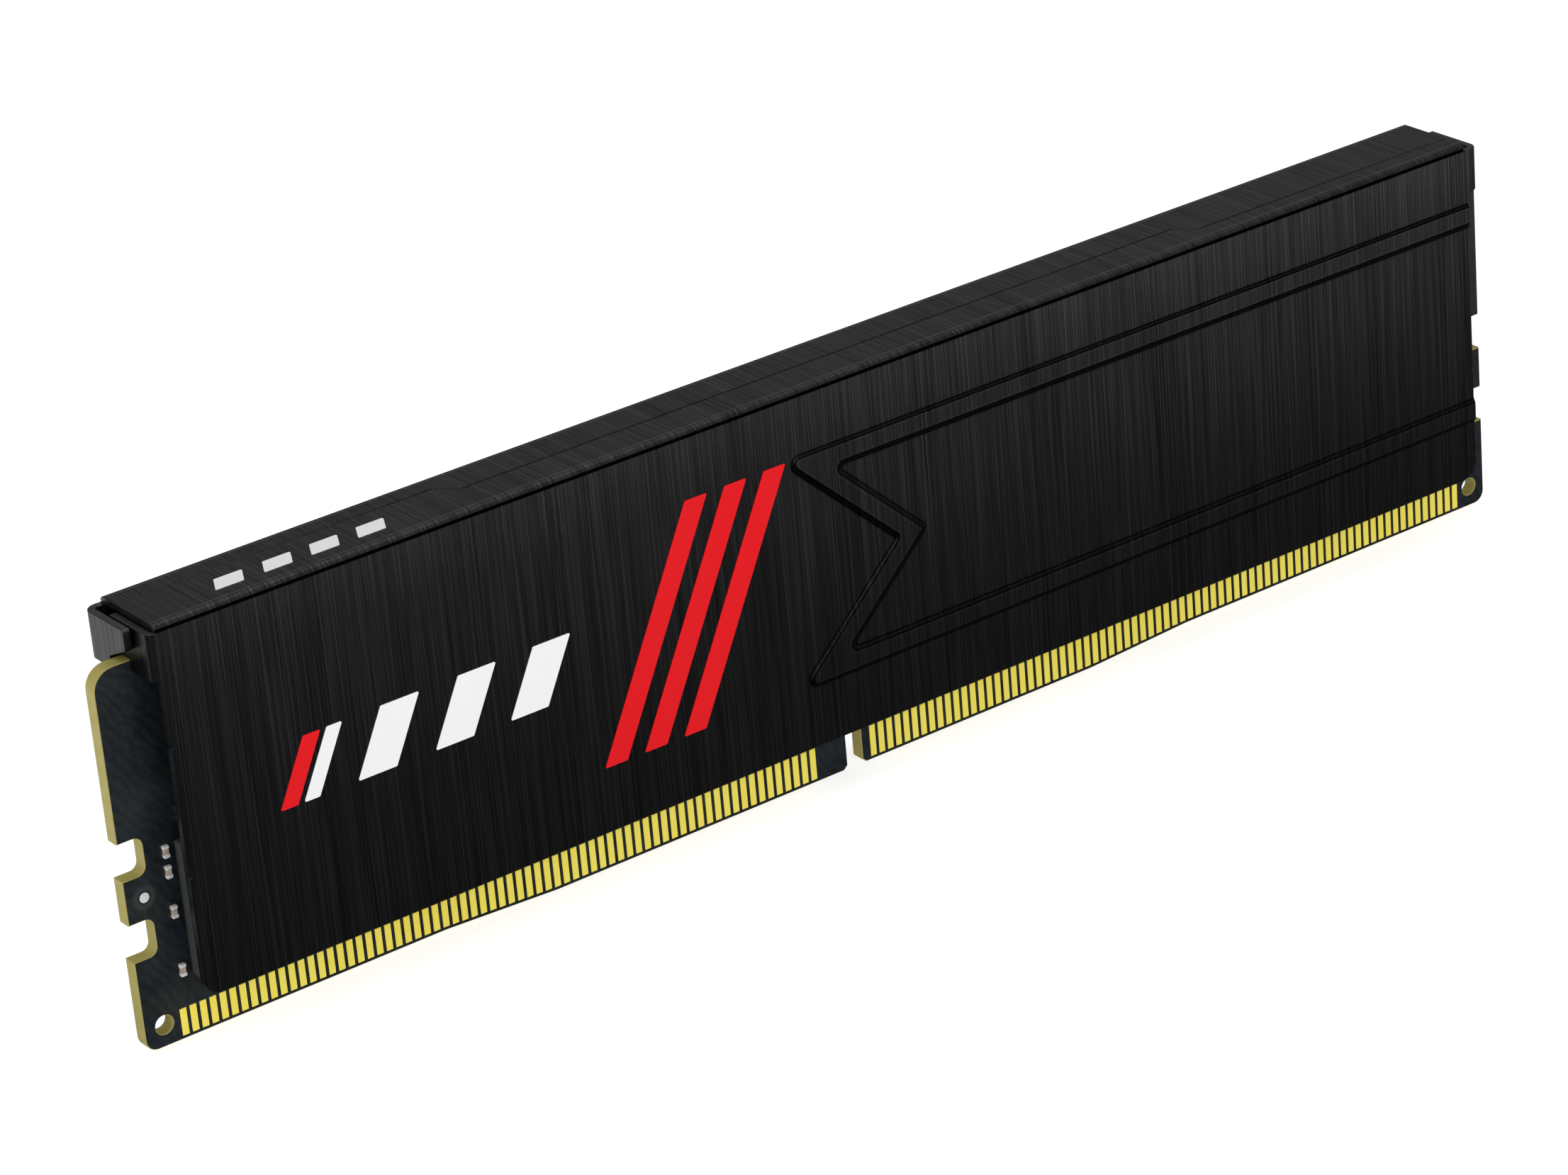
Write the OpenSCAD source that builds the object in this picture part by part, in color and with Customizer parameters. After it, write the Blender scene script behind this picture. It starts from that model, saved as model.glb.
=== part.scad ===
// Memory module for a desktop computer: a circuit board with edge contacts and memory chips,
// clad in two identical bent-sheet heat spreaders that are bonded on with thermal pads.
//
// Frame: X along the board's length, Y through its thickness with the chip side at -Y, Z up.
// The origin is at the middle of the length and thickness, at the lowest edge of the contacts.
// All sizes are in millimetres.

/* [Circuit board] */
// Length of the board
board_length = 133.35; // [133.2:0.05:133.5]
// Height of the board, from the lowest contact edge to the top edge
board_height = 31.25; // [31.1:0.05:31.4]
// Thickness of the board
board_thickness = 1.27; // [1.17:0.01:1.37]
// Radius of the board's top corners
board_top_radius = 1.7; // [1:0.1:3]
// Radius of the board's bottom corners
board_bottom_radius = 1; // [0.5:0.1:1.5]
// Height of the end stretches of the contact edge above its middle stretch
edge_step = 0.5; // [0.3:0.05:0.7]
// Radius of the tooling hole in each bottom corner
tooling_hole_radius = 0.75; // [0.6:0.05:0.9]
// Height of the latch notches in the board's ends
latch_notch_height = 3; // [2.8:0.1:3.2]
// Depth of the latch notches
latch_notch_depth = 2; // [1.5:0.1:2.5]

/* [Contacts] */
// Distance between neighbouring contacts
contact_pitch = 0.85; // [0.8:0.05:0.85]
// Width of a contact
contact_width = 0.6; // [0.5:0.01:0.65]
// Contacts on each face, left of the key notch
left_contacts = 69; // [60:1:69]
// Contacts on each face, right of the key notch
right_contacts = 75; // [60:1:75]
// Height of the contacts' top ends
contact_top = 2.98; // [2.5:0.01:3.1]

/* [Heat spreaders] */
// Distance between the outer faces of the two heat spreaders
spreader_depth = 7.7; // [7.2:0.1:8.2]
// Thickness of the sheet
sheet = 0.6; // [0.5:0.05:0.7]
// Height of the top face above the lowest contact edge
spreader_top = 34.7; // [34.4:0.1:35]
// Height of the lower edge above the lowest contact edge
spreader_bottom = 4.9; // [4.6:0.1:5.2]
// Height of the raised band that is pressed into the face
band_relief = 0.2; // [0.1:0.05:0.3]

/* [Chips] */
// Width of a memory chip along the board
memory_width = 9; // [8:0.1:10]
// Height of a memory chip up the board
memory_height = 11; // [10:0.1:11.2]
// Thickness of a memory chip
memory_thickness = 1.1; // [1:0.05:1.2]
// Distance between neighbouring memory chips
memory_pitch = 12.4; // [11.5:0.1:12.8]

/* [Prints] */
// Thickness of the printed marks and of the label
print_thickness = 0.05; // [0.02:0.01:0.1]
// Number of stripes in the large printed emblem
emblem_stripes = 3; // [2:1:4]

/* [Hidden] */

// Sides of a full circle, for round cuts, and steps of a rounded corner in an outline
ROUND_SIDES = 48;
ARC_STEPS = 6;
// How far a cutting shape runs past what it cuts
PAST = 1;

// Board
end_x = board_length / 2;
face_y = board_thickness / 2;
// Where the sloping stretches of the contact edge start and end, from left to right
slope_x = [-40.4, -30.2, 22.9, 33.1];
key_x = -1.45;
key_width = 1.5;
key_depth = 3.9;
key_corner = 0.35;
latch_notch_z = [9.5, 16.1];
latch_notch_radius = 0.7;
tooling_hole_x = end_x - 1.7;
tooling_hole_z = 2.25;

// Contacts. The left group starts at place 0 and the right one after the places that the key notch takes.
first_contact_x = -end_x + 3.35;
right_group_place = 75;
right_group_x = first_contact_x + contact_pitch * right_group_place;
contact_thickness = 0.04;
contact_gap = 0.28;

// Heat spreader
outer_y = spreader_depth / 2;
inner_y = outer_y - sheet;
spreader_half = 62.95;
spreader_corner = 1.5;
flange_half = 62.87;
fold_radius = 0.5;
fold_groove = [34.15, 34.38];
fold_groove_depth = 0.25;
seam_offset = 1.575;
seam_jog = [34.2, 35.85];
seam_gap = 0.08;
flap_bottom = 30.4;
flap_top = fold_groove[0];
board_clearance = 0.12;
outer_flap_x = 64.3;
outer_flap_reach = 1.75;
outer_flap_radius = 0.9;
outer_flap_slope = 1.15;
inner_flap_x = 63.55;
inner_flap_reach = 1.5;
inner_flap_radius = 0.6;
tab_nick_z = [14.75, 25.1];
tab_nick = [0.15, 0.6];

// Raised band: half heights of its outer and inner outlines, and where their notches point
band_z = 19.75;
band_outer = 9.41;
band_inner = 8.15;
band_outer_tip = 2.5;
band_inner_tip = 4.3;
band_slant = 1.066;
band_corner = 0.4;

// Chips. Places are [x, z], and sizes are [along X, through Y, along Z].
memory_z = 10.95;
memory_end = 62.2;
first_memory_x = memory_end - memory_width / 2;
memory_face_y = -face_y - memory_thickness;
chips_per_side = 4;
pad_size = [122.4, 10.5];
power_chip_place = [0, 19.5];
power_chip_size = [5, 0.85, 5];
inductor_places = [[-8.5, 20.5], [8.5, 20.5], [0, 12.5]];
inductor_size = [4, 1.2, 4];
hub_place = [0, 7.2];
hub_size = [3, 0.6, 2];

// Rows of small parts: the first one's x, the distance between neighbours, the row's z and a part's size
input_row = [4.5, 2.2, 26];
input_count = 4;
input_size = [0.8, 0.8, 1.6];
decoupling_row = [-3.6, 1.8, 18.2];
decoupling_count = 5;
small_part_size = [0.5, 0.5, 1];
resistor_row = [17, 4.6, 21.5];
resistor_count = 10;
resistor_size = [2, 0.45, 1];
rear_row = [-55.2, 4.6, 20];
rear_count = 25;
edge_column_x = -62.95;
edge_column_z = [6.1, 10.9, 14.15, 15.8];
edge_part_size = [0.5, 0.35, 1];
target_place = [-65.1, 12.8];
target_radius = 0.4;

// Prints. The first small mark is split into two stripes: each one's start and width, as shares of a mark.
emblem_x = -26.9;
emblem_size = [19, 19];
emblem_gap = 1.6;
mark_size = [3.4, 5.2];
mark_z = 19.7;
mark_left_part = 0.45;
mark_right_part = [0.6, 0.4];
mark_x = [-51.9, -45.2, -38.4, -31.7];
top_mark_size = [2.4, 1.7];
top_mark_y = -1.05;
top_mark_x = [-55, -50.9, -46.9, -42.9];
label_size = [44, 12.5];
label_x = 31;
label_corner = 1;

// Points of the arc of radius r that rounds the corner at b, between neighbours a and c
function corner(a, b, c, r) =
    let (
        u = (a - b) / norm(a - b),
        v = (c - b) / norm(c - b),
        half = acos(u * v) / 2,
        middle = b + (u + v) / norm(u + v) * r / sin(half),
        first = b + u * r / tan(half) - middle,
        last = b + v * r / tan(half) - middle,
        start = atan2(first.y, first.x),
        sweep = atan2(last.y, last.x) - start,
        turn = sweep > 180 ? sweep - 360 : sweep < -180 ? sweep + 360 : sweep
    )
    [for (i = [0 : ARC_STEPS]) let (t = start + turn * i / ARC_STEPS) middle + r * [cos(t), sin(t)]];

// An outline from points [x, y, radius], where a radius of 0 leaves the corner sharp
function rounded(points) =
    let (count = len(points), place = [for (p = points) [p.x, p.y]])
    [for (i = [0 : count - 1])
        each points[i][2] > 0
            ? corner(place[(i + count - 1) % count], place[i], place[(i + 1) % count], points[i][2])
            : [place[i]]];

// Height of the board's lower edge at x
function edge_z(x) =
    let (
        left = (slope_x[1] - x) / (slope_x[1] - slope_x[0]),
        right = (x - slope_x[2]) / (slope_x[3] - slope_x[2])
    )
    edge_step * min(1, max(0, left, right));

// A flat outline in X and Z, from y0 to y1
module slab(y0, y1) {
    translate([0, y1, 0]) rotate([90, 0, 0]) linear_extrude(height = y1 - y0) children();
}

// A flat outline in Y and Z, from x0 to x1
module bar(x0, x1) {
    translate([x0, 0, 0]) rotate([90, 0, 90]) linear_extrude(height = x1 - x0) children();
}

// A box that is centred in X and Z on [x, z] and stands on the board's front face
module on_front(x, z, size) {
    translate([x - size[0] / 2, -face_y - size[1], z - size[2] / 2]) cube(size);
}

// The same on the board's rear face
module on_rear(x, z, size) {
    translate([x - size[0] / 2, face_y, z - size[2] / 2]) cube(size);
}

// Turns a front piece into the matching rear piece
module rear() {
    rotate([0, 0, 180]) children();
}

// ---- Board and contacts ----

module key_notch() {
    half = key_width / 2;
    translate([key_x, 0, 0]) {
        slab(-face_y - PAST, face_y + PAST) polygon([
            [-half - key_corner - PAST, -PAST], [-half, key_corner], [-half, key_depth - half],
            [half, key_depth - half], [half, key_corner], [half + key_corner + PAST, -PAST]
        ]);
        translate([0, 0, key_depth - half])
            rotate([90, 0, 0])
            cylinder(r = half, h = board_thickness + 2 * PAST, center = true, $fn = ROUND_SIDES);
    }
}

module latch_notch(side, z) {
    low = z - latch_notch_height / 2;
    high = z + latch_notch_height / 2;
    inner = side * (end_x - latch_notch_depth);
    slab(-face_y - PAST, face_y + PAST) polygon(rounded([
        [side * (end_x + PAST), low, 0], [inner, low, latch_notch_radius],
        [inner, high, latch_notch_radius], [side * (end_x + PAST), high, 0]
    ]));
}

module circuit_board() {
    color("#1b2428")
    difference() {
        slab(-face_y, face_y) polygon(rounded([
            [-end_x, edge_step, board_bottom_radius], [slope_x[0], edge_step, 0],
            [slope_x[1], 0, 0], [slope_x[2], 0, 0], [slope_x[3], edge_step, 0],
            [end_x, edge_step, board_bottom_radius], [end_x, board_height, board_top_radius],
            [-end_x, board_height, board_top_radius]
        ]));
        key_notch();
        for (side = [-1, 1]) {
            for (z = latch_notch_z) latch_notch(side, z);
            translate([side * tooling_hole_x, 0, tooling_hole_z])
                rotate([90, 0, 0])
                cylinder(r = tooling_hole_radius, h = board_thickness + 2 * PAST, center = true,
                         $fn = ROUND_SIDES);
        }
    }
}

// A row of contacts from x, with their backs on the face at y
module contact_row(x, count, y) {
    color("#d9b92e")
    for (i = [0 : count - 1]) {
        middle = x + i * contact_pitch;
        low = edge_z(middle) + contact_gap;
        translate([middle - contact_width / 2, y, low])
            cube([contact_width, contact_thickness, contact_top - low]);
    }
}

module contacts_front_left() {
    contact_row(first_contact_x, left_contacts, -face_y - contact_thickness);
}

module contacts_front_right() {
    contact_row(right_group_x, right_contacts, -face_y - contact_thickness);
}

module contacts_rear_left() {
    contact_row(first_contact_x, left_contacts, face_y);
}

module contacts_rear_right() {
    contact_row(right_group_x, right_contacts, face_y);
}

// ---- Heat spreaders ----

// Flat face, with a nick in each side where the blank was held in its strip
module spreader_face() {
    difference() {
        slab(-outer_y, -inner_y) polygon(rounded([
            [-spreader_half, spreader_bottom, spreader_corner],
            [spreader_half, spreader_bottom, spreader_corner],
            [spreader_half, flap_top, 0], [-spreader_half, flap_top, 0]
        ]));
        for (side = [-1, 1], z = tab_nick_z)
            slab(-outer_y - PAST, -inner_y + PAST) polygon([
                [side * spreader_half, z - tab_nick[1] / 2], [side * (spreader_half - tab_nick[0]), z],
                [side * spreader_half, z + tab_nick[1] / 2], [side * (spreader_half + PAST), z]
            ]);
    }
}

// Fold along the top edge, with a groove scored under its round nose, and the flat top flange
module spreader_fold() {
    centre = [-outer_y + fold_radius, spreader_top - fold_radius];
    // The nose ends where its arc comes down to the groove
    nose = 90 - asin((fold_groove[1] - centre.y) / fold_radius);
    bar(-flange_half, flange_half) polygon([
        for (i = [0 : ARC_STEPS]) let (t = 90 + nose * i / ARC_STEPS) centre + fold_radius * [cos(t), sin(t)],
        [-outer_y + fold_groove_depth, fold_groove[1]],
        [-outer_y + fold_groove_depth, fold_groove[0]],
        [-outer_y, fold_groove[0]], [-outer_y, fold_groove[0] - sheet],
        [-inner_y, fold_groove[0] - sheet], [-inner_y, spreader_top - sheet],
        [-seam_offset - PAST, spreader_top - sheet], [-seam_offset - PAST, spreader_top]
    ]);
}

module spreader_flange() {
    edge = seam_gap / 2;
    translate([0, 0, spreader_top - sheet]) linear_extrude(height = sheet) polygon([
        [-flange_half, -outer_y + fold_radius], [flange_half, -outer_y + fold_radius],
        [flange_half, -seam_offset - edge], [seam_jog[1], -seam_offset - edge],
        [seam_jog[0], -edge], [-seam_jog[0], -edge],
        [-seam_jog[1], seam_offset - edge], [-flange_half, seam_offset - edge]
    ]);
}

// An end flap, bent round from the face. Above the board it reaches across to y = reach.
module spreader_flap(side, x, reach, radius, slope) {
    inner = x - sheet;
    bend = max(radius - sheet, 0.05);
    difference() {
        translate([0, 0, flap_bottom]) linear_extrude(height = flap_top - flap_bottom)
            polygon(rounded([
                [side * (spreader_half - PAST), -outer_y, 0], [side * x, -outer_y, radius],
                [side * x, reach, 0], [side * inner, reach, 0],
                [side * inner, -inner_y, bend], [side * (spreader_half - PAST), -inner_y, 0]
            ]));
        bar(-x - PAST, x + PAST) polygon([
            [-face_y - board_clearance, flap_bottom - PAST],
            [-face_y - board_clearance, board_height + board_clearance],
            [reach, board_height + board_clearance + slope],
            [reach + PAST, board_height + board_clearance + slope], [reach + PAST, flap_bottom - PAST]
        ]);
    }
}

// The band is raised round a field that is open at the right edge
module spreader_band() {
    function arrow(half, tip) = let (tail = tip - half * band_slant) rounded([
        [spreader_half, band_z - half, 0], [spreader_half, band_z + half, 0],
        [tail, band_z + half, band_corner], [tip, band_z, band_corner], [tail, band_z - half, band_corner]
    ]);
    slab(-outer_y - band_relief, -outer_y + sheet / 2) difference() {
        polygon(arrow(band_outer, band_outer_tip));
        polygon(arrow(band_inner, band_inner_tip));
    }
}

module heat_spreader() {
    union() {
        spreader_face();
        spreader_fold();
        spreader_flange();
        spreader_flap(1, outer_flap_x, outer_flap_reach, outer_flap_radius, outer_flap_slope);
        spreader_flap(-1, inner_flap_x, inner_flap_reach, inner_flap_radius, 0);
        spreader_band();
    }
}

module front_heat_spreader() {
    color("#2a2a2c") heat_spreader();
}

module rear_heat_spreader() {
    color("#2a2a2c") rear() heat_spreader();
}

// ---- Thermal pads ----

module thermal_pad(y0, y1) {
    color("#5a5f66")
    slab(y0, y1) translate([0, memory_z]) square(pad_size, center = true);
}

module front_thermal_pad() {
    thermal_pad(-inner_y, memory_face_y);
}

module rear_thermal_pad() {
    thermal_pad(face_y, inner_y);
}

// ---- Chips on the front face ----

// Chips 1 to 4 are left of the power supply and 5 to 8 right of it
module memory_chip(number) {
    x = number <= chips_per_side
        ? -first_memory_x + (number - 1) * memory_pitch
        : first_memory_x - (2 * chips_per_side - number) * memory_pitch;
    color("#26282a") on_front(x, memory_z, [memory_width, memory_thickness, memory_height]);
}

module power_chip() {
    color("#2b2b2d") on_front(power_chip_place.x, power_chip_place.y, power_chip_size);
}

module power_inductor(number) {
    place = inductor_places[number - 1];
    color("#55585c") on_front(place.x, place.y, inductor_size);
}

module hub_chip() {
    color("#2b2b2d") on_front(hub_place.x, hub_place.y, hub_size);
}

// ---- Small parts soldered to the board ----

module input_capacitors() {
    color("#8a7862")
    for (side = [-1, 1], i = [0 : input_count - 1])
        on_front(side * (input_row[0] + i * input_row[1]), input_row[2], input_size);
}

module decoupling_capacitors() {
    color("#8a7862")
    for (side = [-1, 1], chip = [0 : chips_per_side - 1], i = [0 : decoupling_count - 1]) {
        chip_x = side * (first_memory_x - chip * memory_pitch);
        on_front(chip_x + decoupling_row[0] + i * decoupling_row[1], decoupling_row[2], small_part_size);
    }
}

module resistor_arrays() {
    color("#303234")
    for (side = [-1, 1], i = [0 : resistor_count - 1])
        on_front(side * (resistor_row[0] + i * resistor_row[1]), resistor_row[2], resistor_size);
}

// Four capacitors beside the first memory chip, in sight past the heat spreader's edge
module edge_capacitors() {
    color("#c9c4b8")
    for (z = edge_column_z) on_front(edge_column_x, z, edge_part_size);
}

module rear_capacitors() {
    color("#8a7862")
    for (i = [0 : rear_count - 1]) on_rear(rear_row[0] + i * rear_row[1], rear_row[2], small_part_size);
}

// Round copper target that a placing machine looks for
module alignment_pad() {
    color("#c9c4b8")
    translate([target_place.x, -face_y, target_place.y])
        rotate([90, 0, 0])
        cylinder(r = target_radius, h = print_thickness, $fn = ROUND_SIDES);
}

// ---- Prints and label ----

// A leaning stripe of the given size, with its lower left corner at [x, z]
module stripe(x, z, size) {
    lean = size.y / 2;
    polygon([[x, z], [x + size.x, z], [x + size.x + lean, z + size.y], [x + lean, z + size.y]]);
}

module emblem() {
    lean = emblem_size.y / 2;
    width = (emblem_size.x - lean - emblem_gap * (emblem_stripes - 1)) / emblem_stripes;
    slab(-outer_y - print_thickness, -outer_y)
        for (i = [0 : emblem_stripes - 1])
            stripe(emblem_x + i * (width + emblem_gap), band_z - emblem_size.y / 2, [width, emblem_size.y]);
}

module front_emblem() {
    color("#d9080f") emblem();
}

module rear_emblem() {
    color("#d9080f") rear() emblem();
}

// One front mark, cut to a part of its width
module mark(x, share) {
    slab(-outer_y - print_thickness, -outer_y)
        stripe(x - mark_size.x / 2 - mark_size.y / 4, mark_z - mark_size.y / 2,
               [mark_size.x * share, mark_size.y]);
}

// The first mark is half red and half white
module front_mark_red() {
    color("#d9080f") mark(mark_x[0], mark_left_part);
}

module front_marks_white() {
    color("#e6e6e6") {
        mark(mark_x[0] + mark_size.x * mark_right_part[0], mark_right_part[1]);
        for (i = [1 : 3]) mark(mark_x[i], 1);
    }
}

module top_marks_white() {
    color("#e6e6e6")
    translate([0, 0, spreader_top]) linear_extrude(height = print_thickness)
        for (x = top_mark_x)
            stripe(x - top_mark_size.x / 2 - top_mark_size.y / 4, top_mark_y - top_mark_size.y / 2,
                   top_mark_size);
}

// Blank label in the field that the raised band frames
module rear_label() {
    color("#d8d9da")
    rear() slab(-outer_y - print_thickness, -outer_y) polygon(rounded([
        for (c = [[-1, -1], [1, -1], [1, 1], [-1, 1]])
            [label_x + c.x * label_size.x / 2, band_z + c.y * label_size.y / 2, label_corner]
    ]));
}

circuit_board();
contacts_front_left();
contacts_front_right();
contacts_rear_left();
contacts_rear_right();
front_heat_spreader();
rear_heat_spreader();
front_thermal_pad();
rear_thermal_pad();
for (number = [1 : 8]) memory_chip(number);
power_chip();
for (number = [1 : 3]) power_inductor(number);
hub_chip();
input_capacitors();
decoupling_capacitors();
resistor_arrays();
edge_capacitors();
rear_capacitors();
alignment_pad();
front_emblem();
front_mark_red();
front_marks_white();
top_marks_white();
rear_emblem();
rear_label();
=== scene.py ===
"""Finished look of a desktop memory module: folded and brushed heat spreaders, circuit board,
gold edge contacts, chips, small soldered parts, pads and prints, with a plain studio stage.

Sizes are in metres. Outlines are drawn flat, in millimetres, and placed by a function.
"""

import math

import bmesh
import bpy
from bpy.props import FloatProperty, FloatVectorProperty, IntProperty, PointerProperty
from mathutils import Matrix, Vector
from mathutils.geometry import delaunay_2d_cdt


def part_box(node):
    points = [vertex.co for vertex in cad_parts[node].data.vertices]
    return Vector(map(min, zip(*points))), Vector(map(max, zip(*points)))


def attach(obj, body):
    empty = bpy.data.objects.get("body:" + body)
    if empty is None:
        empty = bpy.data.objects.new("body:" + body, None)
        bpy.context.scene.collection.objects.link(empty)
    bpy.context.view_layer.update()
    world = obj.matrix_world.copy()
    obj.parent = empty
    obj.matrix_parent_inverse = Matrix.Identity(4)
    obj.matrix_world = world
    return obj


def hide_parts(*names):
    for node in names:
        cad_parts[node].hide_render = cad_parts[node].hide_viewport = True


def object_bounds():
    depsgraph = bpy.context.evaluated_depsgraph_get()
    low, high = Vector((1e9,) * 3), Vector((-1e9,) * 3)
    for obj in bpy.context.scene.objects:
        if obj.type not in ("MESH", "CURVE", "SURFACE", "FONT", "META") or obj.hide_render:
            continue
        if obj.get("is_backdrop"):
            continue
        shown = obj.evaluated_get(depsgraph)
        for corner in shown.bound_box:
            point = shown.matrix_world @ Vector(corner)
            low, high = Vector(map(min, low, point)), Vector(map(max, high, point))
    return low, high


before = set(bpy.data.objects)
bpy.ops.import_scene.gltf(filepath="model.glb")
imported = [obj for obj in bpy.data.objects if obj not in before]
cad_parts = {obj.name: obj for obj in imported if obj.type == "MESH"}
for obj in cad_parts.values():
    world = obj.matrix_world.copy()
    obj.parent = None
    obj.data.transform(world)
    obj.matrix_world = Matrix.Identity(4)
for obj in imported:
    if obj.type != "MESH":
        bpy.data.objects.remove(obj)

bl_info = {
    "name": "Memory Module",
    "version": (1, 0, 0),
    "blender": (4, 5, 0),
    "location": "3D View > Sidebar > Module",
    "description": "Builds a desktop memory module with brushed heat spreaders",
    "category": "Object",
}

MM = 0.001
ROOT = "root"
WHITE = (1.0, 1.0, 1.0, 1.0)
SMOOTH_ANGLE = math.radians(28.0)
TURN_RANGE = math.radians(1.5)
BEND_STEPS = 8
PRINT_CHAMFER, FILM_CHAMFER = 0.012, 0.015
WELD_DISTANCE = 0.0005 * MM
PLIES_PER_METRE = 5500.0


# ---- Sizes and colours that a user would change ----


def length(name, text, default):
    """A length property in metres."""
    return FloatProperty(name=name, description=text, default=default, unit="LENGTH", precision=5)


def colour(name, text, default):
    """A colour property."""
    return FloatVectorProperty(
        name=name, description=text, default=default, subtype="COLOR", size=3, min=0.0, max=1.0
    )


class SpreaderSettings(bpy.types.PropertyGroup):
    """Sizes and finish of the two heat spreaders"""

    sheet: length("Sheet", "Thickness of the folded sheet", 0.6 * MM)
    face_half: length("Face half width", "From the middle of the face to its side", 62.95 * MM)
    flange_half: length("Flange half width", "From the middle of the top flange to its end", 62.87 * MM)
    fold_radius: length("Fold radius", "Outer radius of the fold along the top edge", 0.62 * MM)
    chamfer: length("Edge break", "Width of the broken edge round the blank", 0.05 * MM)
    band_relief: length("Band relief", "Height of the pressed band above the face", 0.2 * MM)
    groove_depth: length("Groove depth", "Depth of the groove scored under the fold", 0.25 * MM)
    seam_gap: length("Seam gap", "Gap between the two top flanges", 0.08 * MM)
    metal: colour("Anodised colour", "Colour of the anodised sheet", (0.024, 0.024, 0.0245))
    grain: colour("Grain colour", "Colour of the lighter brush lines", (0.16, 0.16, 0.16))


class BoardSettings(bpy.types.PropertyGroup):
    """Sizes and colours of the circuit board and its contacts"""

    edge_step: length("Edge step", "Rise of the contact edge towards the ends", 0.5 * MM)
    key_x: length("Key place", "Where the key notch is along the board", -1.45 * MM)
    key_width: length("Key width", "Width of the key notch", 1.5 * MM)
    key_depth: length("Key depth", "Depth of the key notch", 3.9 * MM)
    notch_height: length("Latch notch height", "Height of a latch notch", 3.0 * MM)
    notch_depth: length("Latch notch depth", "Depth of a latch notch", 2.0 * MM)
    hole_radius: length("Tooling hole", "Radius of the tooling hole in each lower corner", 0.75 * MM)
    pitch: length("Contact pitch", "Distance between neighbouring contacts", 0.85 * MM)
    contact_width: length("Contact width", "Width of one contact", 0.57 * MM)
    contact_corner: length("Contact corner", "Radius of a contact's corners", 0.04 * MM)
    contact_bevel: length("Contact bevel", "Width of the sloped sides of a contact", 0.03 * MM)
    mask: colour("Solder mask", "Colour of the solder mask", (0.0065, 0.009, 0.011))
    laminate: colour("Laminate", "Colour of the cut glass laminate", (0.31, 0.26, 0.055))
    gold: colour("Gold", "Colour of the plated contacts", (1.0, 0.85, 0.1))


class ChipSettings(bpy.types.PropertyGroup):
    """Sizes and colours of the chips and small parts"""

    carrier: length("Carrier", "Thickness of the carrier under a memory chip", 0.22 * MM)
    ball_gap: length("Solder gap", "Height of the solder balls under a memory chip", 0.14 * MM)
    ball_pitch: length("Ball pitch", "Distance between neighbouring solder balls", 0.8 * MM)
    moulding: colour("Moulding", "Colour of the moulded chip bodies", (0.032, 0.033, 0.034))
    ceramic: colour("Ceramic", "Colour of the capacitor bodies", (0.42, 0.35, 0.27))
    tin: colour("Tin", "Colour of soldered and tinned ends", (0.78, 0.78, 0.75))


class PrintSettings(bpy.types.PropertyGroup):
    """Shape and colours of the printed marks and the label"""

    corner: length("Print corner", "Radius of the printed stripes' corners", 0.12 * MM)
    red: colour("Red ink", "Colour of the red ink", (0.69, 0.0015, 0.006))
    white: colour("White ink", "Colour of the white ink", (0.80, 0.80, 0.80))
    label: colour("Label", "Colour of the label film", (0.66, 0.67, 0.68))


class StageSettings(bpy.types.PropertyGroup):
    """Floor, lights and camera"""

    floor_size: length("Floor size", "Side of the square floor", 6.0)
    floor: colour("Floor", "Colour of the floor", (0.6, 0.6, 0.6))
    floor_glow: FloatProperty(name="Floor glow", description="Own light of the pale floor", default=0.74)
    camera_at: FloatVectorProperty(
        name="Camera", description="Where the camera stands", size=3, unit="LENGTH",
        default=(-224.065 * MM, -312.082 * MM, 191.831 * MM),
    )
    lens: FloatProperty(name="Lens", description="Focal length in millimetres", default=124.349)
    seed: IntProperty(name="Seed", description="Seed of the small random turns", default=7)


# ---- Flat outlines, in millimetres ----


def flat_box(node):
    """Lowest and highest corner of a CAD node in millimetres."""
    low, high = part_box(node)
    return low / MM, high / MM


def corner_arc(before, at, after, radius, steps):
    """Points that round the corner at a point, between its two neighbours."""
    u = (before - at).normalized()
    v = (after - at).normalized()
    half = u.angle(v) / 2
    middle = at + (u + v).normalized() * radius / math.sin(half)
    first = at + u * radius / math.tan(half) - middle
    turn = first.angle_signed(at + v * radius / math.tan(half) - middle)
    return [middle + Matrix.Rotation(-turn * i / steps, 2) @ first for i in range(steps + 1)]


def rounded(points, closed=True, steps=7):
    """An outline from (x, z, radius) points. A radius of 0 leaves the corner sharp."""
    places = [Vector(p[:2]) for p in points]
    outline = []
    for i, (x, z, radius) in enumerate(points):
        inside = closed or 0 < i < len(points) - 1
        if radius > 0 and inside:
            after = places[(i + 1) % len(places)]
            outline += corner_arc(places[i - 1], places[i], after, radius, steps)
        else:
            outline.append(places[i])
    return outline


def circle(x, z, radius, sides=32):
    """Points of a circle, anticlockwise."""
    angles = [2 * math.pi * i / sides for i in range(sides)]
    return [Vector((x + radius * math.cos(a), z + radius * math.sin(a))) for a in angles]


def rectangle(x0, z0, x1, z1, radius, steps=7):
    """A rectangle with rounded corners, anticlockwise."""
    return rounded([(x0, z0, radius), (x1, z0, radius), (x1, z1, radius), (x0, z1, radius)], steps=steps)


def outward(points):
    """How far each point of an anticlockwise loop moves when its sides move outwards by one."""
    moves = []
    for i, point in enumerate(points):
        ahead = (points[(i + 1) % len(points)] - point).normalized()
        behind = (point - points[i - 1]).normalized()
        n1 = Vector((behind.y, -behind.x))
        n2 = Vector((ahead.y, -ahead.x))
        moves.append((n1 + n2) / max(1 + n1.dot(n2), 0.3))
    return moves


def grown(points, distance):
    """A loop whose sides have moved outwards by a distance."""
    return [p + m * distance for p, m in zip(points, outward(points))]


# ---- Meshes ----


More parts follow.
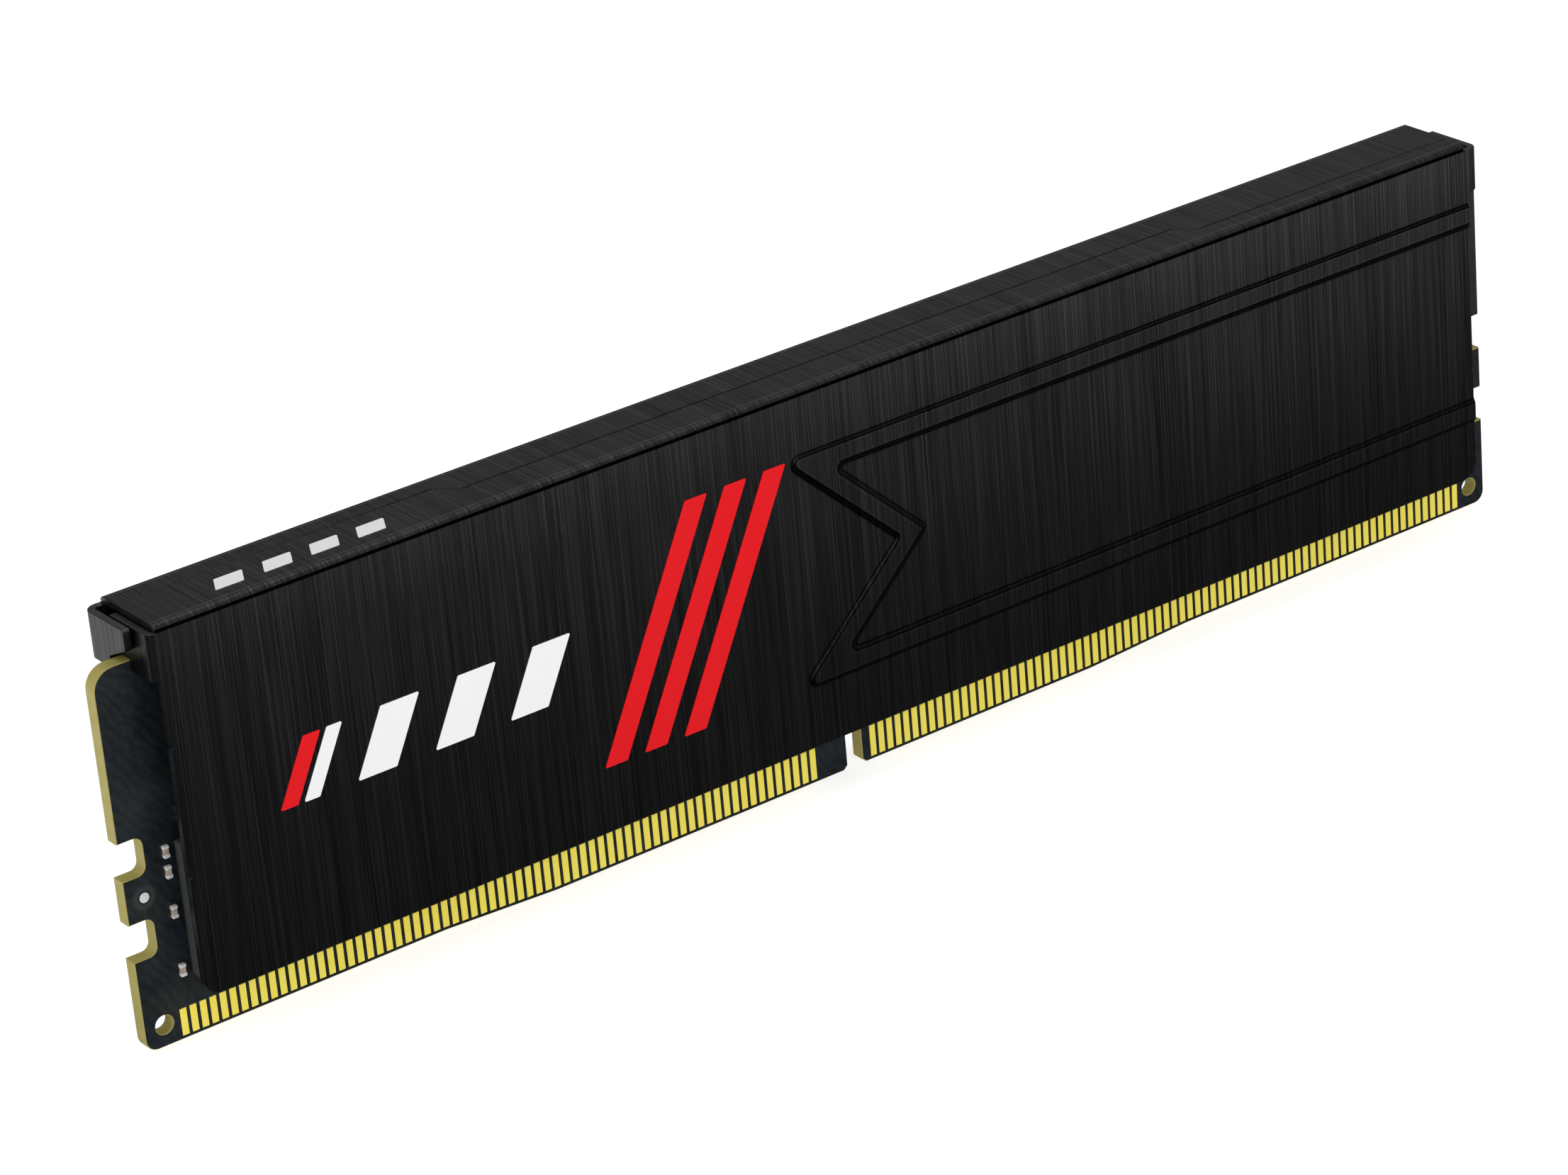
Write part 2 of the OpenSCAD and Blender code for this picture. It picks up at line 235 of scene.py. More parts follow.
class Solid:
    """Collects the faces of one piece: places, flat coordinates, edge tone and painted light, and
    materials.
    """

    def __init__(self):
        self.points = []
        self.flat = []
        self.edge_tone_and_painted_light = []
        self.faces = []
        self.finishes = []

    def add(self, place, flat, edge_tone_and_painted_light=0.0):
        self.points.append(Vector(place) * MM)
        self.flat.append((flat[0] * MM, flat[1] * MM))
        self.edge_tone_and_painted_light.append(edge_tone_and_painted_light)
        return len(self.points) - 1

    def face(self, corners, finish=0):
        self.faces.append(corners)
        self.finishes.append(finish)

    def make(self, name, materials):
        """The finished object, at the origin, with outward faces and sharp creases."""
        mesh = bpy.data.meshes.new(name)
        mesh.from_pydata(self.points, [], self.faces)
        for material in materials:
            mesh.materials.append(material)
        mesh.polygons.foreach_set("material_index", self.finishes)
        uv = mesh.uv_layers.new(name="grain")
        for loop in mesh.loops:
            uv.data[loop.index].uv = self.flat[loop.vertex_index]
        edge_tone_and_painted_light = mesh.attributes.new("edge_tone_and_painted_light", "FLOAT", "POINT")
        edge_tone_and_painted_light.data.foreach_set("value", self.edge_tone_and_painted_light)
        tidy_mesh(mesh)
        return shown(name, mesh)


def tidy_mesh(mesh):
    """Turns the faces outwards and shades them smooth, with the sharp edges kept."""
    work = bmesh.new()
    work.from_mesh(mesh)
    bmesh.ops.recalc_face_normals(work, faces=work.faces)
    work.to_mesh(mesh)
    work.free()
    mesh.polygons.foreach_set("use_smooth", [True] * len(mesh.polygons))
    mesh.set_sharp_from_angle(angle=SMOOTH_ANGLE)
    mesh.update()


def shown(name, mesh):
    """An object for a mesh, in the scene."""
    made = bpy.data.objects.new(name, mesh)
    bpy.context.scene.collection.objects.link(made)
    return made


def flat_sheet(loops, holes, lines):
    """Fills loops with triangles that follow the lines. Returns points, triangles and a source table."""
    points, edges, source = [], [], []
    paths = [(loop, True) for loop in loops] + [line[:2] for line in lines]
    for index, (path, closed) in enumerate(paths):
        start = len(points)
        points += path
        source += [index - len(loops)] * len(path)
        count = len(path) if closed else len(path) - 1
        edges += [(start + i, start + (i + 1) % len(path)) for i in range(count)]
    found = delaunay_2d_cdt(points, edges, [], 1, 1e-4)
    places, triangles, origins = found[0], found[2], found[3]
    line_of = [max([source[o] for o in group], default=-1) for group in origins]
    kept = []
    for triangle in triangles:
        reach = [max((places[i] - middle).length for i in triangle) for middle, _ in holes]
        if not any(far < radius for far, (_, radius) in zip(reach, holes)):
            kept.append(tuple(triangle))
    return places, kept, line_of


def lighter_rim(u, v):
    """Value of a broken edge: lighter all the way along."""
    return 1.0


def straight(start, end, depth=0.0, edge_tone_and_painted_light=0.0):
    """A line for a plate to follow, sunk into its front only."""
    return [Vector(start), Vector(end)], False, depth, 0.0, edge_tone_and_painted_light


def ring(x, z, radius, sides, depth=0.0):
    """A round line for a plate to follow, sunk into its front only."""
    return circle(x, z, radius, sides), True, depth, 0.0, 0.0


def plate(
    solid, outline, thickness, chamfer, place,
    holes=(), lines=(), finishes=(0, 0), rim_shade_and_lightening=lighter_rim,
):
    """Adds a plate with broken edges. place(u, v, depth) puts a flat point into the module's frame.

    holes are (centre, radius). lines are (points, closed, front depth, back depth, edge tone and
    painted light). finishes are the materials of the two faces and of the edge.
    """
    loops = [grown(outline, -chamfer)]
    loops += [circle(c.x, c.y, radius + chamfer) for c, radius in holes]
    cleared = [(c, radius + chamfer * 1.1) for c, radius in holes]
    places, triangles, line_of = flat_sheet(loops, cleared, lines)
    depth = [lines[i][2:] if i >= 0 else (0.0, 0.0, 0.0) for i in line_of]
    border = {}
    for a, b, c in triangles:
        for edge in ((a, b), (b, c), (c, a)):
            if edge[::-1] in border:
                del border[edge[::-1]]
            else:
                border[edge] = True
    used = sorted({i for t in triangles for i in t})
    front, back = {}, {}
    for i in used:
        u, v = places[i]
        front[i] = solid.add(place(u, v, depth[i][0]), (u, v), depth[i][2])
        back[i] = solid.add(place(u, v, thickness + depth[i][1]), (u, v), depth[i][2])
    for a, b, c in triangles:
        solid.face((front[a], front[b], front[c]), finishes[0])
        solid.face((back[c], back[b], back[a]), finishes[0])
    rim = {}
    for loop in chained({a: b for a, b in border}):
        moves = outward([places[i] for i in loop])
        for i, move in zip(loop, moves):
            u, v = places[i] + move * chamfer
            # Value of the rim: lighter along broken edges, with painted shade along the spreaders' seam
            edge_tone_and_painted_light = rim_shade_and_lightening(u, v)
            low = solid.add(place(u, v, depth[i][0] + chamfer), (u, v), edge_tone_and_painted_light)
            high = solid.add(place(u, v, thickness + depth[i][1] - chamfer), (u, v), edge_tone_and_painted_light)
            rim[i] = (low, high)
    for a, b in border:
        solid.face((front[b], front[a], rim[a][0], rim[b][0]), finishes[1])
        solid.face((rim[b][0], rim[a][0], rim[a][1], rim[b][1]), finishes[1])
        solid.face((rim[b][1], rim[a][1], back[a], back[b]), finishes[1])


def chained(left):
    """Splits a table of next points into closed loops."""
    while left:
        start = next(iter(left))
        loop = [start]
        step = left.pop(start)
        while step != start:
            loop.append(step)
            step = left.pop(step)
        yield loop


def facing_front(front_y):
    """Places flat points on a plane that looks to -Y, with depth into the module."""
    return lambda u, v, depth: Vector((u, front_y + depth, v))


def facing_rear(rear_y):
    """The same for a plane that looks to +Y, turned half round the module's height."""
    return lambda u, v, depth: Vector((-u, rear_y - depth, v))


def riding(piece, slot, *nodes):
    """Fixes a finished piece to the module, in place of the CAD nodes it stands for."""
    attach(piece, ROOT)
    if nodes:
        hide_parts(*nodes)


# ---- Node wiring ----


def is_socket(value):
    return isinstance(value, bpy.types.NodeSocket)


class Wiring:
    """Adds nodes to a tree. A value that is a socket is linked, and any other is set."""

    def __init__(self, tree):
        self.tree = tree

    def add(self, kind, values=None, **settings):
        node = self.tree.nodes.new(kind)
        for key, value in settings.items():
            setattr(node, key, value)
        for key, value in (values or {}).items():
            if is_socket(value):
                self.link(value, node.inputs[key])
            else:
                node.inputs[key].default_value = value
        return node

    def link(self, source, target):
        self.tree.links.new(source, target)

    def math(self, operation, first, second=0.0, clamp=False):
        node = self.add("ShaderNodeMath", {0: first, 1: second}, operation=operation, use_clamp=clamp)
        return node.outputs[0]

    def times(self, first, second, clamp=False):
        return self.math("MULTIPLY", first, second, clamp)

    def vector(self, x=0.0, y=0.0, z=0.0):
        return self.add("ShaderNodeCombineXYZ", {0: x, 1: y, 2: z}).outputs[0]

    def split(self, vector):
        return self.add("ShaderNodeSeparateXYZ", {0: vector}).outputs

    def noise(self, place, scale, detail):
        values = {"Vector": place, "Scale": scale, "Detail": detail}
        return self.add("ShaderNodeTexNoise", values).outputs["Fac"]

    def blend(self, share, first, second):
        """Mixes two colours. Each is a socket or three channels."""
        ends = [c if is_socket(c) else (*c, 1.0) for c in (first, second)]
        node = self.add("ShaderNodeMix", {0: share, 6: ends[0], 7: ends[1]}, data_type="RGBA")
        return node.outputs[2]

    def remap(self, value, low, high, new_low=0.0, new_high=1.0):
        values = {0: value, 1: low, 2: high, 3: new_low, 4: new_high}
        return self.add("ShaderNodeMapRange", values).outputs[0]

    def spread(self, share, low, high):
        """Turns a share from 0 to 1 into a value between two ends."""
        return self.remap(share, 0.0, 1.0, low, high)

    def group(self, name, **values):
        """Places a shader group, which is built the first time, and returns its outputs."""
        tree = bpy.data.node_groups.get(name) or SHADER_GROUPS[name]()
        return self.add("ShaderNodeGroup", spaced(values), node_tree=tree).outputs


def spaced(values):
    """Keyword arguments as socket names."""
    return {key.replace("_", " "): value for key, value in values.items()}


def group_tree(name, kind, inputs, outputs):
    """A node group with its wiring, inputs and outputs. A socket has a type's name or a default."""
    tree = bpy.data.node_groups.new(name, kind)
    types = {int: "Int", float: "Float"}
    for side, sockets in (("INPUT", inputs), ("OUTPUT", outputs)):
        for label, given in sockets.items():
            typed = "NodeSocket" + types.get(type(given), given)
            socket = tree.interface.new_socket(label, in_out=side, socket_type=typed)
            if not isinstance(given, str):
                socket.default_value = given
    w = Wiring(tree)
    return tree, w, w.add("NodeGroupInput").outputs, w.add("NodeGroupOutput").inputs


def brush_lines():
    """Brush lines that run along the second coordinate, as masks and a height."""
    tree, w, take, made = group_tree(
        "Brush lines",
        "ShaderNodeTree",
        {"Vector": "Vector", "Across": 5000.0, "Along": 90.0},
        {"Lines": "Float", "Broad": "Float", "Height": "Float"},
    )
    parts = w.split(take["Vector"])

    def lines(across, along, detail):
        x = w.times(parts[0], w.times(take["Across"], across))
        y = w.times(parts[1], w.times(take["Along"], along))
        values = {"Vector": w.vector(x, y), "Scale": 1.0, "Detail": detail, "Roughness": 0.6}
        return w.add("ShaderNodeTexNoise", values, noise_dimensions="2D").outputs["Fac"]

    fine = lines(1.0, 1.0, 1.0)
    long = lines(0.55, 0.4, 2.0)
    broad = lines(0.08, 0.3, 2.0)
    strokes = w.times(w.remap(long, 0.52, 0.75), 0.5)
    w.link(w.math("ADD", w.times(w.remap(fine, 0.42, 0.75), 0.55), strokes, True), made["Lines"])
    w.link(w.remap(broad, 0.3, 0.7), made["Broad"])
    w.link(w.math("ADD", fine, long), made["Height"])
    return tree


def mottle():
    """Soft clouds and a fine grain, as two masks. The scales are in spots to a metre."""
    tree, w, take, made = group_tree(
        "Mottle",
        "ShaderNodeTree",
        {"Vector": "Vector", "Cloud scale": 300.0, "Grain scale": 6000.0},
        {"Clouds": "Float", "Grain": "Float"},
    )
    for label, scale, detail in (("Clouds", "Cloud scale", 4.0), ("Grain", "Grain scale", 2.0)):
        w.link(w.remap(w.noise(take["Vector"], take[scale], detail), 0.3, 0.7), made[label])
    return tree


def edge_tone_and_painted_light_group():
    """Lighter broken edges and painted highlights above zero, and painted shade below zero, from each
    point's edge tone and painted light attribute.
    """
    tree, w, take, made = group_tree(
        "Edge tone and painted light",
        "ShaderNodeTree",
        {"Vector": "Vector", "Amount": 0.5},
        {"Lighter edges and painted highlights": "Float", "Painted shade": "Float"},
    )
    value = w.add("ShaderNodeAttribute", attribute_name="edge_tone_and_painted_light").outputs["Fac"]
    broken = w.remap(w.noise(take["Vector"], 900.0, 3.0), 0.35, 0.65, 0.55)
    w.link(w.times(w.times(value, broken), take["Amount"], True), made["Lighter edges and painted highlights"])
    # The negative part is painted shade: it blackens the band's walls, the groove under the fold and the
    # seam.
    w.link(w.times(value, -1.0, True), made["Painted shade"])
    return tree


SHADER_GROUPS = {"Brush lines": brush_lines, "Mottle": mottle, "Edge tone and painted light": edge_tone_and_painted_light_group}


# ---- Materials ----


class Look(Wiring):
    """The wiring of a new material, and the place of each point on its object."""

    def __init__(self, name):
        self.material = bpy.data.materials.new(name)
        self.material.use_nodes = True
        super().__init__(self.material.node_tree)
        self.tree.nodes.clear()
        self.place = self.add("ShaderNodeTexCoord").outputs["Object"]

    def finished(self, tone, roughness, bump=None, **others):
        """The material. bump is a height from 0 to 1, how far that is in metres, and a strength."""
        values = {"Base Color": tone, "Roughness": roughness, **spaced(others)}
        if bump:
            bumps = dict(zip(("Height", "Distance", "Strength"), bump))
            values["Normal"] = self.add("ShaderNodeBump", bumps).outputs[0]
        shader = self.add("ShaderNodeBsdfPrincipled", values)
        self.add("ShaderNodeOutputMaterial", {"Surface": shader.outputs[0]})
        return self.material


def grey(level):
    return (level, level, level)


def scaled(value, factor):
    """A colour made darker or lighter."""
    return tuple(min(channel * factor, 1.0) for channel in value)


def brushed_aluminium(settings):
    """Black anodised sheet, brushed before it was folded, so the grain follows the blank."""
    w = Look("Brushed black aluminium")
    grain = w.add("ShaderNodeUVMap", uv_map="grain").outputs[0]
    lines = w.group("Brush lines", Vector=grain, Across=9000.0, Along=70.0)
    edge_tone_and_painted_light = w.group("Edge tone and painted light", Vector=w.place, Amount=0.3)
    ground = w.blend(w.times(lines["Broad"], 0.1), settings.metal, settings.grain)
    brushed = w.blend(w.times(lines["Lines"], 0.58), ground, settings.grain)
    # Lighter broken edges, and painted highlights on the band's crest and along the fold
    lightened_edges_and_highlights = w.blend(edge_tone_and_painted_light["Lighter edges and painted highlights"], brushed, grey(0.2))
    # Painted shade: near black on the band's walls, in the groove under the fold and along the seam
    # between the flanges
    tone = w.blend(w.times(edge_tone_and_painted_light["Painted shade"], 0.93), lightened_edges_and_highlights, grey(0.0005))
    bump = (lines["Height"], 0.006 * MM, 0.6)
    return w.finished(tone, w.spread(lines["Lines"], 0.44, 0.36), bump, Metallic=1.0)


def solder_mask(settings):
    """Blue-black mask with the weave of the glass cloth showing through, and a ring round the target."""
    w = Look("Blue-black solder mask")
    spots = w.group("Mottle", Vector=w.place, Cloud_scale=420.0, Grain_scale=3200.0)
    blue = w.blend(spots["Clouds"], settings.mask, (0.01, 0.016, 0.024))
    hue = w.remap(w.noise(w.place, 160.0, 3.0), 0.5, 0.7, 0.0, 0.7)
    warm = w.blend(hue, blue, (0.022, 0.024, 0.016))
    turned = w.add("ShaderNodeMapping", {"Vector": w.place, "Rotation": (0.0, math.radians(38.0), 0.0)})
    waves = {"Vector": turned.outputs[0], "Scale": 380.0, "Distortion": 9.0, "Detail": 3.0}
    threads = w.times(w.add("ShaderNodeTexWave", waves).outputs["Fac"], spots["Grain"])
    woven = w.blend(w.times(threads, 0.25), warm, (0.045, 0.054, 0.056))
    low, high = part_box("alignment_pad")
    centre = {0: w.place, 1: (low + high) / 2}
    away = w.add("ShaderNodeVectorMath", centre, operation="DISTANCE").outputs["Value"]
    radius = (high.x - low.x) / 2
    inner = w.remap(away, radius * 1.2, radius * 1.6)
    outer = w.remap(away, radius * 1.9, radius * 2.6, 1.0, 0.0)
    tone = w.blend(w.times(w.times(inner, outer), 0.5), woven, (0.05, 0.06, 0.062))
    bump = (w.math("ADD", threads, spots["Clouds"]), 0.01 * MM, 0.5)
    return w.finished(tone, w.spread(spots["Clouds"], 0.34, 0.5), bump, Specular_IOR_Level=0.35)


def cut_laminate(settings):
    """Cut edge of the glass laminate: layers of resin and cloth, seen end on."""
    w = Look("Cut glass laminate")
    spots = w.group("Mottle", Vector=w.place, Cloud_scale=700.0, Grain_scale=9000.0)
    edge_tone_and_painted_light = w.group("Edge tone and painted light", Vector=w.place, Amount=0.25)
    plies = w.math("SINE", w.times(w.split(w.place)[1], 2 * math.pi * PLIES_PER_METRE))
    resin = w.blend(w.remap(plies, -1.0, 1.0, 0.0, 0.22), settings.laminate, (0.26, 0.21, 0.04))
    glass = w.blend(w.times(spots["Grain"], 0.2), resin, (0.42, 0.37, 0.11))
    tone = w.blend(edge_tone_and_painted_light["Lighter edges and painted highlights"], glass, (0.55, 0.49, 0.17))
    return w.finished(tone, w.spread(spots["Clouds"], 0.5, 0.7), (spots["Grain"], 0.01 * MM, 0.4))


def gold_plate(settings):
    """Hard gold plating, faintly scratched along the way the edge slides into its socket."""
    w = Look("Hard gold plating")
    x, _, z = w.split(w.place)
    lines = w.group("Brush lines", Vector=w.vector(x, z), Across=9000.0, Along=500.0)
    patches = w.remap(w.noise(w.place, 60.0, 2.0), 0.35, 0.65, 0.0, 0.5)
    deep = w.blend(patches, settings.gold, (0.97, 0.76, 0.06))
    tone = w.blend(w.times(lines["Lines"], 0.3), deep, (1.0, 0.94, 0.35))
    bump = (lines["Height"], 0.003 * MM, 0.4)
    return w.finished(tone, w.spread(lines["Broad"], 0.32, 0.42), bump, Metallic=0.12)


def moulded_epoxy(settings):
    """Fine matt epoxy of moulded chips."""
    w = Look("Moulded epoxy")
    spots = w.group("Mottle", Vector=w.place, Cloud_scale=500.0, Grain_scale=14000.0)
    edge_tone_and_painted_light = w.group("Edge tone and painted light", Vector=w.place, Amount=0.3)
    speckled = w.blend(w.times(spots["Grain"], 0.4), settings.moulding, (0.06, 0.061, 0.062))
    tone = w.blend(edge_tone_and_painted_light["Lighter edges and painted highlights"], speckled, grey(0.1))
    return w.finished(tone, w.spread(spots["Clouds"], 0.5, 0.62), (spots["Grain"], 0.006 * MM, 0.5))


def printed(name, ink):
    """Flat ink with the faint grain of the brushed metal under it."""
    w = Look(name)
    x, y, z = w.split(w.place)
    flat = w.vector(x, w.math("ADD", y, z))
    lines = w.group("Brush lines", Vector=flat, Across=5200.0, Along=80.0)
    tone = w.blend(w.times(lines["Lines"], 0.08), ink, scaled(ink, 0.8))
    bump = (lines["Height"], 0.002 * MM, 0.4)
    return w.finished(tone, w.spread(lines["Broad"], 0.55, 0.65), bump, Specular_IOR_Level=0.15)


# Roughness, clouds and grains to a metre, height of the bump in millimetres, and metallic
PLAIN_FINISHES = {
    "Chip carrier": (0.45, 900.0, 9000.0, 0.004, 0.0),
    "Tinned solder": (0.38, 1500.0, 12000.0, 0.008, 0.2),
    "Pressed iron powder": (0.6, 1200.0, 7000.0, 0.02, 0.0),
    "Fired ceramic": (0.45, 2500.0, 9000.0, 0.005, 0.0),
    "Glazed film": (0.3, 2500.0, 9000.0, 0.004, 0.0),
    "Soft silicone": (0.75, 350.0, 4000.0, 0.02, 0.0),
    "Label film": (0.38, 60.0, 5000.0, 0.002, 0.0),
}


def plain(name, dark, light):
    """One of the plain finishes, between two close tones."""
    roughness, cloud_scale, grain_scale, height, metallic = PLAIN_FINISHES[name]
    w = Look(name)
    spots = w.group("Mottle", Vector=w.place, Cloud_scale=cloud_scale, Grain_scale=grain_scale)
    mixed = w.times(w.math("ADD", spots["Clouds"], spots["Grain"]), 0.5)
    rough = w.spread(spots["Clouds"], roughness - 0.06, roughness + 0.06)
    bump = (spots["Grain"], height * MM, 0.6)
    return w.finished(w.blend(mixed, dark, light), rough, bump, Metallic=metallic)


def tinned_solder(settings):
    """Dull tinned solder, made once."""
    found = bpy.data.materials.get("Tinned solder")
    return found or plain("Tinned solder", scaled(settings.tin, 0.8), scaled(settings.tin, 1.15))


# ---- Geometry Nodes ----


def contact_tree():
    """A row of plated contacts. Their lower ends follow the stepped contact edge."""
    sizes = {"Pitch": 0.85, "Width": 0.57, "Height": 2.7, "Thickness": 0.04, "Corner": 0.04}
    sizes.update({"Bevel": 0.03, "Edge step": 0.5})
    tree, w, take, made = group_tree(
        "Contact row",
        "GeometryNodeTree",
        {"Geometry": "Geometry", "Count": 1, "First": "Vector", "Turn": 0.0, "Material": "Material"}
        | {label: size * MM for label, size in sizes.items()}
        | {"Left slope": "Vector", "Right slope": "Vector"},
        {"Geometry": "Geometry"},
    )

    def place():
        return w.split(w.add("GeometryNodeInputPosition").outputs[0])

    line = {"Count": take["Count"], "Start Location": take["First"], "Offset": w.vector(take["Pitch"])}
    row = w.add("GeometryNodeMeshLine", line)
    size = {"Width": take["Width"], "Height": take["Height"]}
    pad = w.add("GeometryNodeCurvePrimitiveQuadrilateral", size)
    corner = {"Curve": pad.outputs[0], "Radius": take["Corner"], "Count": 3}
    soft = w.add("GeometryNodeFilletCurve", corner, mode="POLY")
    base = w.add("GeometryNodeFillCurve", {"Curve": soft.outputs[0]}, mode="NGONS")
    lift = {"Mesh": base.outputs[0], "Offset Scale": take["Thickness"], "Individual": False}
    raised = w.add("GeometryNodeExtrudeMesh", lift).outputs
    x, y, _ = place()
    inward = w.times(take["Bevel"], -1.0)
    pulled = w.vector(w.times(w.math("SIGN", x), inward), w.times(w.math("SIGN", y), inward))
    slope = {"Geometry": raised["Mesh"], "Selection": raised["Top"], "Offset": pulled}
    closed = w.add("GeometryNodeJoinGeometry")
    w.link(w.add("GeometryNodeSetPosition", slope).outputs[0], closed.inputs[0])
    w.link(w.add("GeometryNodeFlipFaces", {"Mesh": base.outputs[0]}).outputs[0], closed.inputs[0])
    join = {"Geometry": closed.outputs[0], "Distance": WELD_DISTANCE}
    stand = {
        "Geometry": w.add("GeometryNodeMergeByDistance", join).outputs[0],
        "Rotation": w.vector(math.pi / 2, 0.0, take["Turn"]),
        "Translation": w.vector(z=w.times(take["Height"], -0.5)),
    }
    upright = w.add("GeometryNodeTransform", stand)
    x, _, _ = place()
    rises = []
    for side in ("Left slope", "Right slope"):
        start, end, _ = w.split(take[side])
        rises.append(w.remap(x, start, end))
    rise = w.times(w.math("MAXIMUM", *rises), take["Edge step"])
    share = w.math("DIVIDE", w.math("SUBTRACT", take["Height"], rise), take["Height"])
    copies = {"Points": row.outputs[0], "Instance": upright.outputs[0]}
    placed = w.add("GeometryNodeInstanceOnPoints", {**copies, "Scale": w.vector(1.0, 1.0, share)})
    real = w.add("GeometryNodeRealizeInstances", {"Geometry": placed.outputs[0]})
    finish = {"Geometry": real.outputs[0], "Material": take["Material"]}
    w.link(w.add("GeometryNodeSetMaterial", finish).outputs[0], made[0])
    return tree


def soldered_tree():
    """Copies a small part to every point, each with a slight turn, and finishes body and ends."""
    tree, w, take, made = group_tree(
        "Soldered parts",
        "GeometryNodeTree",
        {"Geometry": "Geometry", "Part": "Object", "Turn range": 0.02, "Seed": 7}
        | {"Body": "Material", "Ends": "Material"},
        {"Geometry": "Geometry"},
    )
    part = w.add("GeometryNodeObjectInfo", {"Object": take["Part"]}).outputs["Geometry"]
    span = {2: w.times(take["Turn range"], -1.0), 3: take["Turn range"], "Seed": take["Seed"]}
    turn = w.add("FunctionNodeRandomValue", span, data_type="FLOAT").outputs[1]
    copies = {"Points": take["Geometry"], "Instance": part, "Rotation": w.vector(0.0, turn)}
    placed = w.add("GeometryNodeInstanceOnPoints", copies)
    real = w.add("GeometryNodeRealizeInstances", {"Geometry": placed.outputs[0]})
    ends = w.add("GeometryNodeInputNamedAttribute", {"Name": "tinned"}, data_type="BOOLEAN")
    body = w.add("GeometryNodeSetMaterial", {"Geometry": real.outputs[0], "Material": take["Body"]})
    finish = {"Geometry": body.outputs[0], "Selection": ends.outputs["Attribute"]}
    ended = w.add("GeometryNodeSetMaterial", {**finish, "Material": take["Ends"]})
    w.link(ended.outputs[0], made[0])
    return tree


def grow_nodes(name, base, tree, values):
    """Runs a node tree on a base mesh and returns the result as an object with a plain mesh."""
    piece = shown(name, base)
    modifier = piece.modifiers.new("Nodes", "NODES")
    modifier.node_group = tree
    for socket in tree.interface.items_tree:
        if socket.in_out == "INPUT" and socket.name in values:
            modifier[socket.identifier] = values[socket.name]
    bpy.context.view_layer.update()
    evaluated = piece.evaluated_get(bpy.context.evaluated_depsgraph_get())
    mesh = bpy.data.meshes.new_from_object(evaluated)
    if not mesh.materials[0]:
        mesh.materials.pop(index=0)
    piece.modifiers.clear()
    piece.data = mesh
    mesh.name = name
    tidy_mesh(mesh)
    return piece


# ---- Heat spreaders ----


def bent(distance, radius, depth):
    """Where a point of a bent sheet is, along and across the sheet's first plane."""
    angle = min(max(distance, 0.0) / radius, math.pi / 2)
    past = max(distance - radius * math.pi / 2, 0.0)
    along = min(distance, 0.0) + (radius - depth) * math.sin(angle)
    across = radius - (radius - depth) * math.cos(angle) + past
    return along, across


